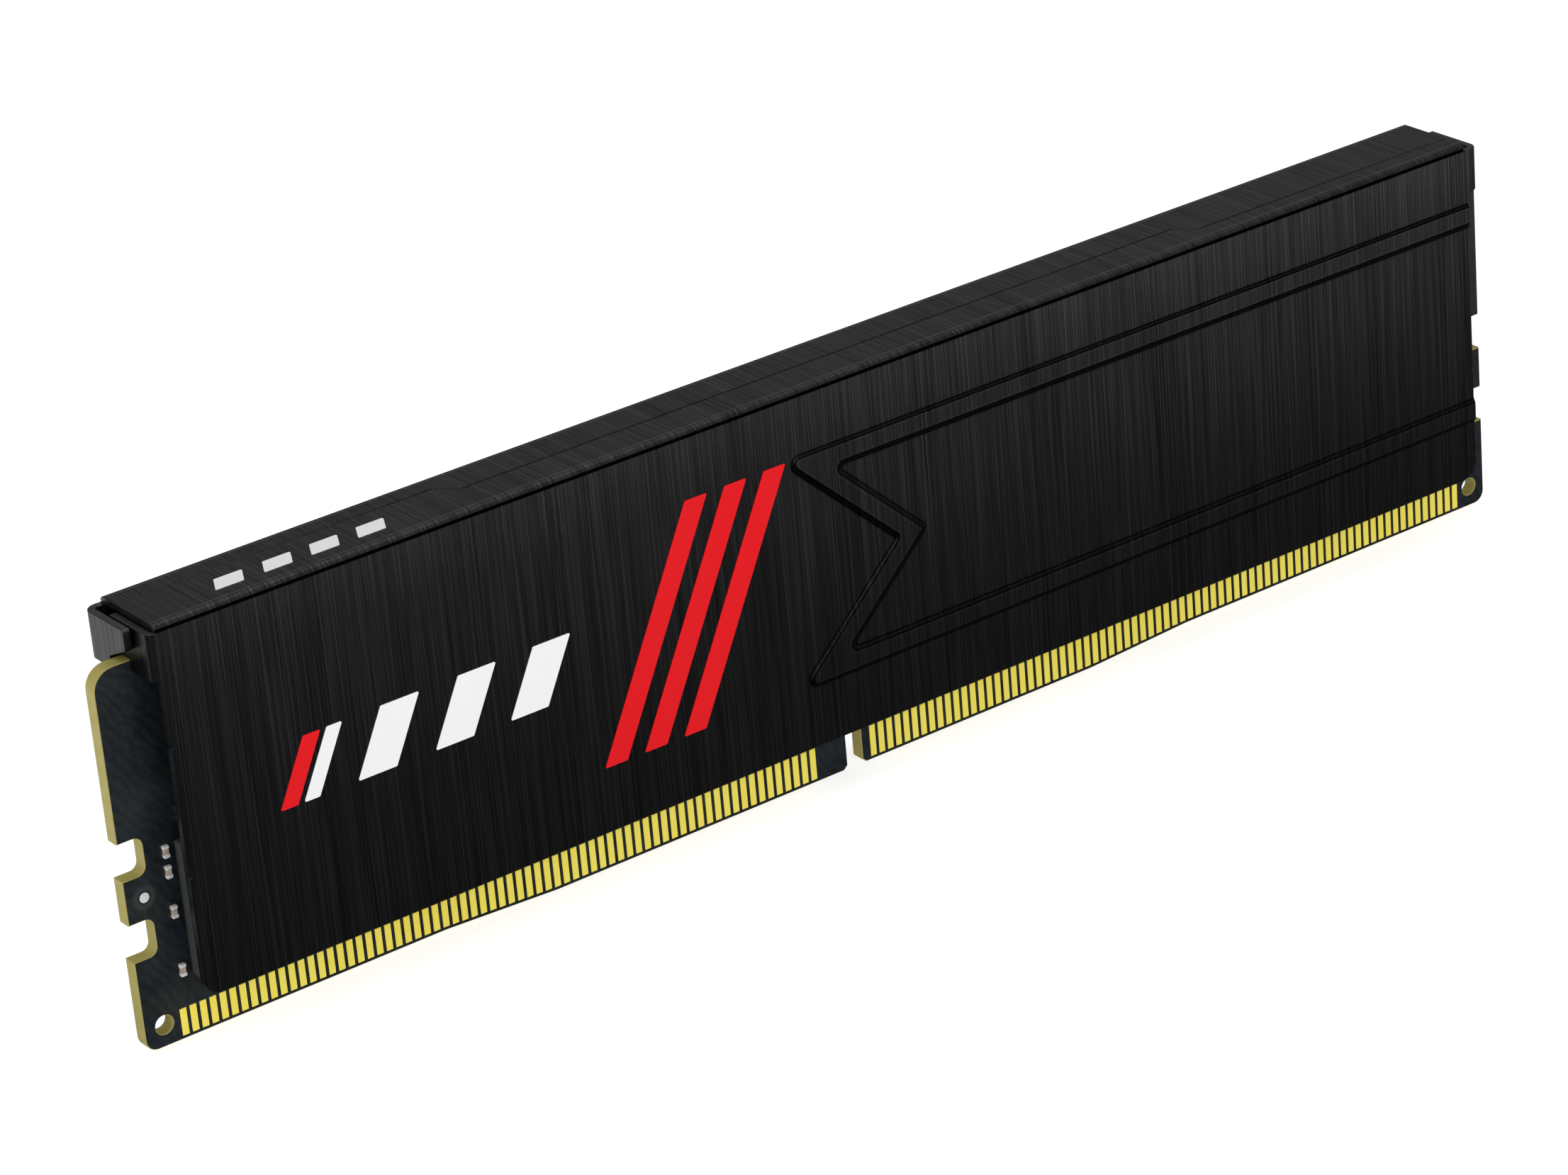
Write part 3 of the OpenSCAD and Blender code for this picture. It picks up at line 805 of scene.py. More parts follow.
class SpreaderBlank:
    """The flat blank of one heat spreader and the way it is folded, in millimetres."""

    FLAP_BOTTOM = 30.4
    GROOVE, GROOVE_SLOPE = (34.15, 34.39), 0.02
    NICKS = (14.75, 25.1)
    NICK_DEPTH, NICK_HALF = 0.15, 0.3
    BOTTOM_RADIUS = 1.5
    SEAM_OFFSET = 1.575
    SEAM_JOG = (34.2, 35.85)
    OUTER_BEND, INNER_BEND = 0.9, 0.62
    OUTER_REACH, INNER_REACH = 1.75, 1.5
    FLAP_RISE = 1.15
    CLEARANCE = 0.12
    BAND_Z, BAND_SLANT = 19.75, 1.066
    # How far past the fold the sheet catches the light, with the painted highlight there
    FOLD_SHINE = ((0.04, 0.0), (0.08, 2.2), (0.15, 2.2), (0.22, 0.0))
    # Half height, tip, tail radius and tip radius of the band's outlines, at its foot and its crest
    BAND_OUTER = ((9.83, 1.7, 0.84, 0.1), (9.41, 2.5, 0.34, 0.6))
    BAND_INNER = ((7.59, 5.2, 0.2, 0.6), (8.15, 4.3, 0.7, 0.1))
    # Where each line of a wall is, from foot to crest, and how much painted highlight (above 0) or
    # painted shade (below 0) it has
    WALL_STEPS = (
        (-0.2, 0.0),
        (0.0, -0.2),
        (0.15, -1.0),
        (0.35, -0.9),
        (0.5, -0.5),
        (0.65, -0.9),
        (0.85, -1.0),
        (1.0, 0.0),
        (1.08, 0.7),
        (1.25, 0.0),
    )

    def __init__(self, settings):
        low, high = flat_box("front_heat_spreader")
        board_low, board_high = flat_box("circuit_board")
        self.sheet = settings.sheet / MM
        self.chamfer = settings.chamfer / MM
        self.relief = settings.band_relief / MM
        self.groove = settings.groove_depth / MM
        self.outer_y = -(low.y + self.relief)
        self.half = settings.face_half / MM
        self.flange = settings.flange_half / MM
        self.bottom = low.z
        self.gap = settings.seam_gap / MM
        self.fold = settings.fold_radius / MM
        self.fold_start = high.z - self.fold
        self.left_start = -low.x - self.INNER_BEND
        self.right_start = high.x - self.OUTER_BEND
        self.board_y = board_low.y - self.CLEARANCE
        self.board_z = board_high.z + self.CLEARANCE

    def place(self, u, v, depth):
        """Folds a flat point of the blank into the module's frame."""
        x, y, z = u, depth, v
        if v > self.fold_start and abs(u) < self.flange + 0.03:
            rise, y = bent(v - self.fold_start, self.fold, depth)
            z = self.fold_start + rise
        elif u > self.right_start:
            run, y = bent(u - self.right_start, self.OUTER_BEND, depth)
            x = self.right_start + run
        elif u < -self.left_start:
            run, y = bent(-u - self.left_start, self.INNER_BEND, depth)
            x = -self.left_start - run
        return Vector((x, y - self.outer_y, z))

    def flap_u(self, start, radius, y):
        """How far out on the blank a flap reaches a place through the thickness."""
        return start + radius * math.pi / 2 + y + self.outer_y - radius

    def flange_v(self, y):
        """How far up on the blank the flange reaches a place through the thickness."""
        return self.fold_start + self.fold * math.pi / 2 + y + self.outer_y - self.fold

    def side(self, way):
        """The nicked side of the face, from the bottom up, at +X or -X."""
        points = []
        for z in self.NICKS:
            points += [
                (way * self.half, z - self.NICK_HALF, 0),
                (way * (self.half - self.NICK_DEPTH), z, 0),
                (way * self.half, z + self.NICK_HALF, 0),
            ]
        return points + [(way * self.half, self.FLAP_BOTTOM, 0.1)]

    def flap(self, way, start, radius, reach, rise):
        """A flap's free outline, from its lower edge to its top edge."""
        near = self.flap_u(start, radius, self.board_y)
        far = self.flap_u(start, radius, reach)
        return [
            (way * near, self.FLAP_BOTTOM, 0.25),
            (way * near, self.board_z, 0.1),
            (way * far, self.board_z + rise, 0.2),
            (way * far, self.GROOVE[0], 0.2),
        ]

    def outline(self):
        """The whole blank, anticlockwise from its lower left corner."""
        near = self.flange_v(-self.SEAM_OFFSET - self.gap / 2)
        middle = self.flange_v(-self.gap / 2)
        far = self.flange_v(self.SEAM_OFFSET - self.gap / 2)
        inner, outer = self.SEAM_JOG
        right = self.flap(1, self.right_start, self.OUTER_BEND, self.OUTER_REACH, self.FLAP_RISE)
        left = self.flap(-1, self.left_start, self.INNER_BEND, self.INNER_REACH, 0.0)
        return rounded(
            [(-self.half, self.bottom, self.BOTTOM_RADIUS), (self.half, self.bottom, self.BOTTOM_RADIUS)]
            + self.side(1)
            + right
            + [(self.flange, self.GROOVE[0], 0), (self.flange, near, 0.2)]
            + [(outer, near, 0.1), (inner, middle, 0.1), (-inner, middle, 0.1), (-outer, far, 0.1)]
            + [(-self.flange, far, 0.2), (-self.flange, self.GROOVE[0], 0)]
            + left[::-1]
            + self.side(-1)[::-1]
        )

    def band_line(self, foot, crest, share):
        """One outline of the pressed band, between its foot and its crest."""
        half, tip, tail_radius, tip_radius = (a + (b - a) * share for a, b in zip(foot, crest))
        tail = tip - half * self.BAND_SLANT
        end = self.half - self.chamfer
        return rounded(
            [
                (end, self.BAND_Z + half, 0),
                (tail, self.BAND_Z + half, max(tail_radius, 0.04)),
                (tip, self.BAND_Z, max(tip_radius, 0.04)),
                (tail, self.BAND_Z - half, max(tail_radius, 0.04)),
                (end, self.BAND_Z - half, 0),
            ],
            closed=False,
        )

    def band_lines(self):
        """The pressed band: lines across each of its two walls, with their heights and their painted
        shade and painted highlight.
        """
        lines = []
        for foot, crest in (self.BAND_OUTER, self.BAND_INNER):
            for share, edge_tone_and_painted_light in self.WALL_STEPS:
                flat = min(max(share, 0.0), 1.0)
                height = -self.relief * flat * flat * (3 - 2 * flat)
                lines.append((self.band_line(foot, crest, share), False, height, height, edge_tone_and_painted_light))
        return lines

    def fold_lines(self):
        """The fold along the top edge, the groove scored under it with painted shade in it, and the
        painted highlight past it.
        """
        end = self.flange - self.chamfer
        low, high = self.GROOVE
        slope = self.GROOVE_SLOPE
        # Third value: painted highlight above 0, painted shade below 0; the groove between its slopes is
        # painted dark
        levels = [(self.fold_start - 0.04, 0.0, 0.3), (self.fold_start, 0.0, 0.0)]
        levels += [(low, 0.0, -1.0), (low + slope, self.groove, -1.0)]
        levels += [(high - slope, self.groove, -1.0), (high, 0.0, -1.0), (high + 0.03, 0.0, 0.2)]
        for i in range(BEND_STEPS + 1):
            v = self.fold_start + self.fold * math.pi / 2 * i / BEND_STEPS
            if v > high + 0.05:
                levels.append((v, 0.0, 0.0))
        last = levels[-1][0]
        levels += [(last + past, 0.0, edge_tone_and_painted_light) for past, edge_tone_and_painted_light in self.FOLD_SHINE]
        return [straight((-end, v), (end, v), depth, edge_tone_and_painted_light) for v, depth, edge_tone_and_painted_light in levels]

    def bend_lines(self):
        """The bends of the two end flaps."""
        lines = []
        margin = 0.08
        low = self.FLAP_BOTTOM + self.chamfer
        high = self.GROOVE[0] - self.chamfer
        bends = ((1, self.right_start, self.OUTER_BEND), (-1, self.left_start, self.INNER_BEND))
        for way, start, radius in bends:
            arc = radius * math.pi / 2
            steps = [arc * i / BEND_STEPS for i in range(BEND_STEPS + 1)]
            for out in [-margin] + steps + [arc + margin]:
                if start + out > self.half:
                    u = way * (start + out)
                    lines.append(straight((u, low), (u, high)))
        return lines

    def rim_shade_and_lightening(self, u, v):
        """Value of the blank's edge: painted shade along the seam between the flanges, and lighter
        elsewhere.
        """
        seam = self.flange_v(-self.SEAM_OFFSET - self.gap)
        return -1.0 if v > seam and abs(u) < self.flange - self.fold else 1.0

    def add_to(self, solid, turned):
        """Adds the folded sheet, or the same one turned half round for the rear."""
        way = Vector((-1.0, -1.0, 1.0)) if turned else Vector((1.0, 1.0, 1.0))
        plate(
            solid,
            self.outline(),
            self.sheet,
            self.chamfer,
            lambda u, v, depth: self.place(u, v, depth) * way,
            lines=self.band_lines() + self.fold_lines() + self.bend_lines(),
            rim_shade_and_lightening=self.rim_shade_and_lightening,
        )


class MODULE_OT_heat_spreaders(bpy.types.Operator):
    """Folds the two brushed heat spreaders"""

    bl_idname = "module.heat_spreaders"
    bl_label = "Heat spreaders"

    def execute(self, context):
        settings = context.scene.module_spreader
        metal = brushed_aluminium(settings)
        for name, turned in (("front_heat_spreader", False), ("rear_heat_spreader", True)):
            solid = Solid()
            SpreaderBlank(settings).add_to(solid, turned)
            piece = solid.make(name + "_sheet", [metal])
            riding(piece, "anodised_aluminium", name)
        return {"FINISHED"}


# ---- Board and contacts ----


class BoardShape:
    """Outline of the circuit board, in millimetres."""

    SLOPE_LEFT, SLOPE_RIGHT = (-40.4, -30.2), (22.9, 33.1)
    TOP_RADIUS, BOTTOM_RADIUS = 1.7, 1.0
    NOTCH_Z, NOTCH_RADIUS = (9.5, 16.1), 0.7
    KEY_CORNER = 0.35
    HOLE_PLACE = (1.7, 2.25)
    CHAMFER = 0.06
    CONTACT_GAP, FIRST_CONTACT = 0.28, 3.35
    RIGHT_GROUP_PLACE = 75

    def __init__(self, settings):
        self.low, self.high = flat_box("circuit_board")
        self.step = settings.edge_step / MM
        self.key = (settings.key_x / MM, settings.key_width / MM / 2, settings.key_depth / MM)
        self.notch = (settings.notch_height / MM / 2, settings.notch_depth / MM)
        self.hole = settings.hole_radius / MM

    def latch_side(self, way):
        """One end of the board with its two latch notches, from the bottom up."""
        end = self.high.x
        half, depth = self.notch
        points = []
        for z in self.NOTCH_Z:
            points += [(end, z - half, 0), (end - depth, z - half, self.NOTCH_RADIUS)]
            points += [(end - depth, z + half, self.NOTCH_RADIUS), (end, z + half, 0)]
        return [(way * x, z, radius) for x, z, radius in points]

    def outline(self):
        """The board's outline, anticlockwise from its lower left corner."""
        key_x, key_half, key_top = self.key
        end, top = self.high.x, self.high.z
        corner = self.KEY_CORNER
        sides = ((key_half + corner, 0, 0), (key_half, corner, 0), (key_half, key_top, key_half * 0.98))
        key = [(key_x - x, z, radius) for x, z, radius in sides]
        key += [(key_x + x, z, radius) for x, z, radius in sides[::-1]]
        left, right, step = self.SLOPE_LEFT, self.SLOPE_RIGHT, self.step
        return rounded(
            [(-end, step, self.BOTTOM_RADIUS), (left[0], step, 0), (left[1], 0, 0)]
            + key
            + [(right[0], 0, 0), (right[1], step, 0), (end, step, self.BOTTOM_RADIUS)]
            + self.latch_side(1)
            + [(end, top, self.TOP_RADIUS), (-end, top, self.TOP_RADIUS)]
            + self.latch_side(-1)[::-1]
        )

    def holes(self):
        across, up = self.HOLE_PLACE
        return [(Vector((way * (self.high.x - across), up)), self.hole) for way in (-1, 1)]


class MODULE_OT_board(bpy.types.Operator):
    """Cuts the circuit board, with its notches and tooling holes"""

    bl_idname = "module.board"
    bl_label = "Circuit board"

    def execute(self, context):
        settings = context.scene.module_board
        shape = BoardShape(settings)
        solid = Solid()
        plate(
            solid,
            shape.outline(),
            shape.high.y - shape.low.y,
            shape.CHAMFER,
            facing_front(shape.low.y),
            holes=shape.holes(),
            finishes=(0, 1),
        )
        piece = solid.make("circuit_board_laminate", [solder_mask(settings), cut_laminate(settings)])
        riding(piece, "board_laminate", "circuit_board")
        return {"FINISHED"}


class MODULE_OT_contacts(bpy.types.Operator):
    """Plates the four rows of edge contacts"""

    bl_idname = "module.contacts"
    bl_label = "Edge contacts"

    def execute(self, context):
        settings = context.scene.module_board
        shape = BoardShape(settings)
        gold = gold_plate(settings)
        tree = contact_tree()
        pitch = settings.pitch
        first = -shape.high.x * MM + shape.FIRST_CONTACT * MM
        for face in ("front", "rear"):
            for side in ("left", "right"):
                node = f"contacts_{face}_{side}"
                low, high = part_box(node)
                count = round((high.x - low.x - settings.contact_width) / pitch) + 1
                start = first if side == "left" else first + shape.RIGHT_GROUP_PLACE * pitch
                values = {
                    "Count": count,
                    "First": (start, high.y if face == "front" else low.y, high.z),
                    "Pitch": pitch,
                    "Width": settings.contact_width,
                    "Height": high.z - shape.CONTACT_GAP * MM,
                    "Thickness": high.y - low.y,
                    "Corner": settings.contact_corner,
                    "Bevel": settings.contact_bevel,
                    "Edge step": settings.edge_step,
                    "Left slope": (shape.SLOPE_LEFT[1] * MM, shape.SLOPE_LEFT[0] * MM, 0.0),
                    "Right slope": (shape.SLOPE_RIGHT[0] * MM, shape.SLOPE_RIGHT[1] * MM, 0.0),
                    "Turn": 0.0 if face == "front" else math.pi,
                    "Material": gold,
                }
                piece = grow_nodes(node + "_plating", bpy.data.meshes.new(node), tree, values)
                riding(piece, "gold_plating", node)
        return {"FINISHED"}


# ---- Chips and small parts ----


def add_block(
    solid, node, front_y, thickness, corner, chamfer, finishes=(0, 0), inset=0.0, dimple=None
):
    """Adds a block over a CAD node's outline, from a front level and back into the module.

    dimple is how far a round mark is from the upper left corner, and its radius.
    """
    low, high = flat_box(node)
    outline = rectangle(low.x + inset, low.z + inset, high.x - inset, high.z - inset, corner)
    lines = []
    if dimple:
        x, z = low.x + dimple[0], high.z - dimple[0]
        for radius, depth in ((dimple[1], 0.0), (dimple[1] * 0.8, 0.03)):
            lines.append(ring(x, z, radius, 20, depth))
    plate(solid, outline, thickness, chamfer, facing_front(front_y), lines=lines, finishes=finishes)


class MODULE_OT_memory_chips(bpy.types.Operator):
    """Moulds the eight memory chips on their carriers and sets their solder balls"""

    bl_idname = "module.memory_chips"
    bl_label = "Memory chips"

    CORNER, CHAMFER, CARRIER_CHAMFER, DIMPLE = 0.12, 0.05, 0.03, (1.0, 0.35)
    BALL_COLUMNS, BALL_ROWS = (-3.5, -2.5, -1.5, 1.5, 2.5, 3.5), 12
    BALL_SIDES, BALL_RINGS, BALL_SQUASH = 10, 5, 1.5

    def execute(self, context):
        settings = context.scene.module_chips
        epoxy = moulded_epoxy(settings)
        carrier = plain("Chip carrier", (0.018, 0.03, 0.02), (0.03, 0.05, 0.034))
        centres = []
        for number in range(1, 9):
            node = f"memory_chip_{number}"
            low, high = flat_box(node)
            under, gap = settings.carrier / MM, settings.ball_gap / MM
            body = high.y - low.y - under - gap
            solid = Solid()
            add_block(solid, node, low.y, body, self.CORNER, self.CHAMFER, dimple=self.DIMPLE)
            add_block(solid, node, low.y + body, under, self.CORNER, self.CARRIER_CHAMFER, (1, 1))
            piece = solid.make(node + "_package", [epoxy, carrier])
            riding(piece, "chip_plastic", node)
            centres.append(((low.x + high.x) / 2, high.y - gap / 2, (low.z + high.z) / 2))
        self.add_balls(settings, centres)
        return {"FINISHED"}

    def add_balls(self, settings, centres):
        """Solder balls under the memory chips."""
        pitch = settings.ball_pitch / MM
        places = []
        for x, y, z in centres:
            for column in self.BALL_COLUMNS:
                for row in range(self.BALL_ROWS):
                    up = (row - (self.BALL_ROWS - 1) / 2) * pitch
                    places.append(Vector((x + column * pitch, y, z + up)) * MM)
        solder = tinned_solder(settings)
        ball = self.ball(settings.ball_gap / 2)
        riding(set_out("solder_balls", places, ball, solder, solder), "tinned_copper")

    def ball(self, half):
        """One squashed ball: a lower pole, rings of points, and an upper pole."""
        sides, rings = self.BALL_SIDES, self.BALL_RINGS
        wide = self.BALL_SQUASH
        points = [(0.0, 0.0, -half * wide)]
        for i in range(1, rings + 1):
            angle = math.pi * i / (rings + 1)
            ends = circle(0.0, 0.0, half * math.sin(angle), sides)
            points += [(x * wide, y, -half * wide * math.cos(angle)) for x, y in ends]
        points.append((0.0, 0.0, half * wide))
        top = len(points) - 1
        faces = []
        for i in range(sides):
            j = (i + 1) % sides
            faces += [(0, 1 + j, 1 + i), (top, top - sides + i, top - sides + j)]
            for low in range(1, top - sides, sides):
                faces.append((low + i, low + j, low + sides + j, low + sides + i))
        mesh = bpy.data.meshes.new("solder_ball")
        mesh.from_pydata(points, [], faces)
        return mesh


def set_out(name, places, part_mesh, body, ends):
    """Copies a part mesh to a list of places with the soldered-parts tree."""
    part = shown("part_to_copy", part_mesh)
    points = bpy.data.meshes.new(name)
    points.from_pydata(places, [], [])
    tree = bpy.data.node_groups.get("Soldered parts") or soldered_tree()
    values = {
        "Part": part,
        "Turn range": TURN_RANGE,
        "Seed": bpy.context.scene.module_stage.seed,
        "Body": body,
        "Ends": ends,
    }
    piece = grow_nodes(name, points, tree, values)
    bpy.data.objects.remove(part)
    return piece


class MODULE_OT_power_parts(bpy.types.Operator):
    """Makes the power chip, its three inductors and the hub chip"""

    bl_idname = "module.power_parts"
    bl_label = "Power parts"

    LEAD = 0.12

    def execute(self, context):
        settings = context.scene.module_chips
        epoxy = bpy.data.materials.get("Moulded epoxy") or moulded_epoxy(settings)
        tin = tinned_solder(settings)
        lead = self.LEAD
        for node in ("power_chip", "hub_chip"):
            low, high = flat_box(node)
            solid = Solid()
            add_block(solid, node, low.y, high.y - low.y - lead, 0.15, 0.05, dimple=(0.6, 0.2))
            add_block(solid, node, high.y - lead, lead, 0.1, 0.02, (1, 1), inset=0.08)
            riding(solid.make(node + "_package", [epoxy, tin]), "chip_plastic", node)
        ferrite = plain("Pressed iron powder", (0.06, 0.063, 0.068), (0.12, 0.125, 0.13))
        for number in range(1, 4):
            node = f"power_inductor_{number}"
            low, high = flat_box(node)
            solid = Solid()
            add_block(solid, node, low.y, high.y - low.y - lead, 0.35, 0.12)
            add_block(solid, node, high.y - lead, lead, 0.2, 0.03, (1, 1), inset=0.25)
            riding(solid.make(node + "_core", [ferrite, tin]), "ferrite", node)
        return {"FINISHED"}


def chip_part(width, height, length, end):
    """A small two-ended part, standing on its back at Y 0: a body between two larger tinned ends."""
    solid = Solid()
    corner, slim, overlap = 0.06, 0.04, 0.05
    half = length / 2
    inner = half - end
    for z0, z1 in ((-half, -inner), (inner, half)):
        outline = rectangle(-width / 2, z0, width / 2, z1, corner, 2)
        plate(solid, outline, height, corner * 0.6, facing_front(-height), finishes=(1, 1))
    outline = rectangle(-width / 2 + slim, -inner - overlap, width / 2 - slim, inner + overlap, 0)
    plate(solid, outline, height - slim, corner * 0.4, facing_front(slim - height))
    mesh = bpy.data.meshes.new("small_part")
    mesh.from_pydata(solid.points, [], solid.faces)
    marked = mesh.attributes.new("tinned", "BOOLEAN", "FACE")
    marked.data.foreach_set("value", [bool(f) for f in solid.finishes])
    return mesh


def solid_boxes(node):
    """Lowest and highest corner of each separate solid in a CAD node, in metres, from left to right."""
    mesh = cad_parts[node].data
    work = bmesh.new()
    work.from_mesh(mesh)
    bmesh.ops.remove_doubles(work, verts=work.verts, dist=0.001 * MM)
    left = set(work.verts)
    boxes = []
    while left:
        stack = [left.pop()]
        island = list(stack)
        while stack:
            for edge in stack.pop().link_edges:
                for other in edge.verts:
                    if other in left:
                        left.remove(other)
                        stack.append(other)
                        island.append(other)
        low = Vector(min(v.co[i] for v in island) for i in range(3))
        high = Vector(max(v.co[i] for v in island) for i in range(3))
        boxes.append((low, high))
    work.free()
    return sorted(boxes, key=lambda pair: (round(pair[0].x, 6), pair[0].z))


class MODULE_OT_small_parts(bpy.types.Operator):
    """Solders the rows of capacitors and resistor arrays"""

    bl_idname = "module.small_parts"
    bl_label = "Capacitors and resistors"

    END_SHARE = 0.28

    def execute(self, context):
        settings = context.scene.module_chips
        tin = tinned_solder(settings)
        ceramic = plain("Fired ceramic", scaled(settings.ceramic, 0.75), scaled(settings.ceramic, 1.3))
        film = plain("Glazed film", (0.012, 0.012, 0.014), (0.03, 0.03, 0.034))
        rows = (
            ("input_capacitors", ceramic, "ceramic"),
            ("decoupling_capacitors", ceramic, "ceramic"),
            ("edge_capacitors", ceramic, "ceramic"),
            ("rear_capacitors", ceramic, "ceramic"),
            ("resistor_arrays", film, "resistor_body"),
        )
        for node, body, slot in rows:
            boxes = solid_boxes(node)
            size = (boxes[0][1] - boxes[0][0]) / MM
            rear = boxes[0][0].y > 0
            part = chip_part(size.x, size.y, size.z, self.END_SHARE * size.z)
            if rear:
                part.transform(Matrix.Rotation(math.pi, 4, "Z"))
            places = [
                Vector(((low.x + high.x) / 2, low.y if rear else high.y, (low.z + high.z) / 2))
                for low, high in boxes
            ]
            riding(set_out(node + "_soldered", places, part, body, tin), slot, node)
        return {"FINISHED"}


class MODULE_OT_thermal_pads(bpy.types.Operator):
    """Cuts the two soft thermal pads"""

    bl_idname = "module.thermal_pads"
    bl_label = "Thermal pads"

    def execute(self, context):
        silicone = plain("Soft silicone", (0.075, 0.085, 0.1), (0.12, 0.13, 0.15))
        for node in ("front_thermal_pad", "rear_thermal_pad"):
            low, high = flat_box(node)
            solid = Solid()
            add_block(solid, node, low.y, high.y - low.y, 0.3, 0.2)
            riding(solid.make(node + "_cut", [silicone]), "thermal_pad", node)
        return {"FINISHED"}


# ---- Prints, label and placing target ----


def add_stripe(solid, low, high, corner, face):
    """Adds one leaning stripe that fills a box seen from the front, the rear or above."""
    bottom, top = (low.y, high.y) if face == "top" else (low.z, high.z)
    left, right = (low.x, high.x) if face != "rear" else (-high.x, -low.x)
    lean = (top - bottom) / 2
    points = ((left, bottom), (right - lean, bottom), (right, top), (left + lean, top))
    outline = rounded([(u, v, corner) for u, v in points])
    places = {
        "front": (facing_front(low.y), high.y - low.y),
        "rear": (facing_rear(high.y), high.y - low.y),
        "top": (lambda u, v, depth: Vector((u, v, high.z - depth)), high.z - low.z),
    }
    place, thickness = places[face]
    plate(solid, outline, thickness, PRINT_CHAMFER, place)


class MODULE_OT_prints(bpy.types.Operator):
    """Prints the plain striped marks"""

    bl_idname = "module.prints"
    bl_label = "Printed marks"

    def execute(self, context):
        settings = context.scene.module_prints
        red = printed("Red ink", settings.red)
        white = printed("White ink", settings.white)
        marks = (
            ("front_emblem", red, "red_ink", "front"),
            ("front_mark_red", red, "red_ink", "front"),
            ("rear_emblem", red, "red_ink", "rear"),
            ("front_marks_white", white, "white_ink", "front"),
            ("top_marks_white", white, "white_ink", "top"),
        )
        for node, ink, slot, face in marks:
            solid = Solid()
            for low, high in solid_boxes(node):
                add_stripe(solid, low / MM, high / MM, settings.corner / MM, face)
            riding(solid.make(node + "_ink", [ink]), slot, node)
        return {"FINISHED"}


class MODULE_OT_label(bpy.types.Operator):
    """Sticks the blank label on the rear and sets the placing target on the board"""

    bl_idname = "module.label"
    bl_label = "Label and target"

    def execute(self, context):
        settings = context.scene.module_prints
        low, high = flat_box("rear_label")
        film = plain("Label film", scaled(settings.label, 0.94), scaled(settings.label, 1.04))
        outline = rectangle(-high.x, low.z, -low.x, high.z, 1.0)
        solid = Solid()
        plate(solid, outline, high.y - low.y, FILM_CHAMFER, facing_rear(high.y))
        riding(solid.make("rear_label_film", [film]), "label_film", "rear_label")
        self.add_target()
        return {"FINISHED"}

    def add_target(self):
        """Round tinned pad in a cleared ring of bare laminate."""
        chips = bpy.context.scene.module_chips
        low, high = flat_box("alignment_pad")
        centre = (low + high) / 2
        radius = (high.x - low.x) / 2
        solid = Solid()
        disc = circle(centre.x, centre.z, radius, 40)
        lines = [ring(centre.x, centre.z, radius * 0.7, 32)]
        plate(solid, disc, high.y - low.y, FILM_CHAMFER, facing_front(low.y), lines=lines)
        piece = solid.make("alignment_pad_tinned", [tinned_solder(chips)])
        riding(piece, "tinned_copper", "alignment_pad")


# ---- Stage ----


def floor_material(settings):
    """Plain pale floor."""
    w = Look("Pale floor")
    patches = w.remap(w.noise(w.place, 3.0, 2.0), 0.3, 0.7)
    tone = w.blend(patches, settings.floor, scaled(settings.floor, 0.99))
    glow = {"Emission_Color": WHITE, "Emission_Strength": settings.floor_glow}
    return w.finished(tone, 0.9, Specular_IOR_Level=0.0, **glow)


def softbox(name, at, towards, width, height, power):
    """A soft rectangular light that the camera doesn't see."""
    light = bpy.data.lights.new(name, "AREA")
    light.shape = "RECTANGLE"
    light.size = width
    light.size_y = height
    light.energy = power
    lamp = bpy.data.objects.new(name, light)
    lamp.location = at
    lamp.rotation_euler = (Vector(towards) - Vector(at)).to_track_quat("-Z", "Y").to_euler()
    lamp.visible_camera = False
    bpy.context.scene.collection.objects.link(lamp)


def studio_world():
    """A pale room: bright to the eye and to matt surfaces, dimmer in reflections from below."""
    world = bpy.data.worlds.new("Studio")
    bpy.context.scene.world = world
    world.use_nodes = True
    world.node_tree.nodes.clear()
    w = Wiring(world.node_tree)
    rays = w.add("ShaderNodeLightPath").outputs
    up = w.split(w.add("ShaderNodeTexCoord").outputs["Generated"])[2]
    mirrored = w.remap(up, -0.4, 0.9, 0.08, 0.36)
    rooms = []
    for strength in (0.5, mirrored, 1.0):
        rooms.append(w.add("ShaderNodeBackground", {"Color": WHITE, "Strength": strength}).outputs[0])
    lit = w.add("ShaderNodeMixShader", {0: rays["Is Glossy Ray"], 1: rooms[0], 2: rooms[1]})
    seen = w.add("ShaderNodeMixShader", {0: rays["Is Camera Ray"], 1: lit.outputs[0], 2: rooms[2]})
    w.add("ShaderNodeOutputWorld", {"Surface": seen.outputs[0]})


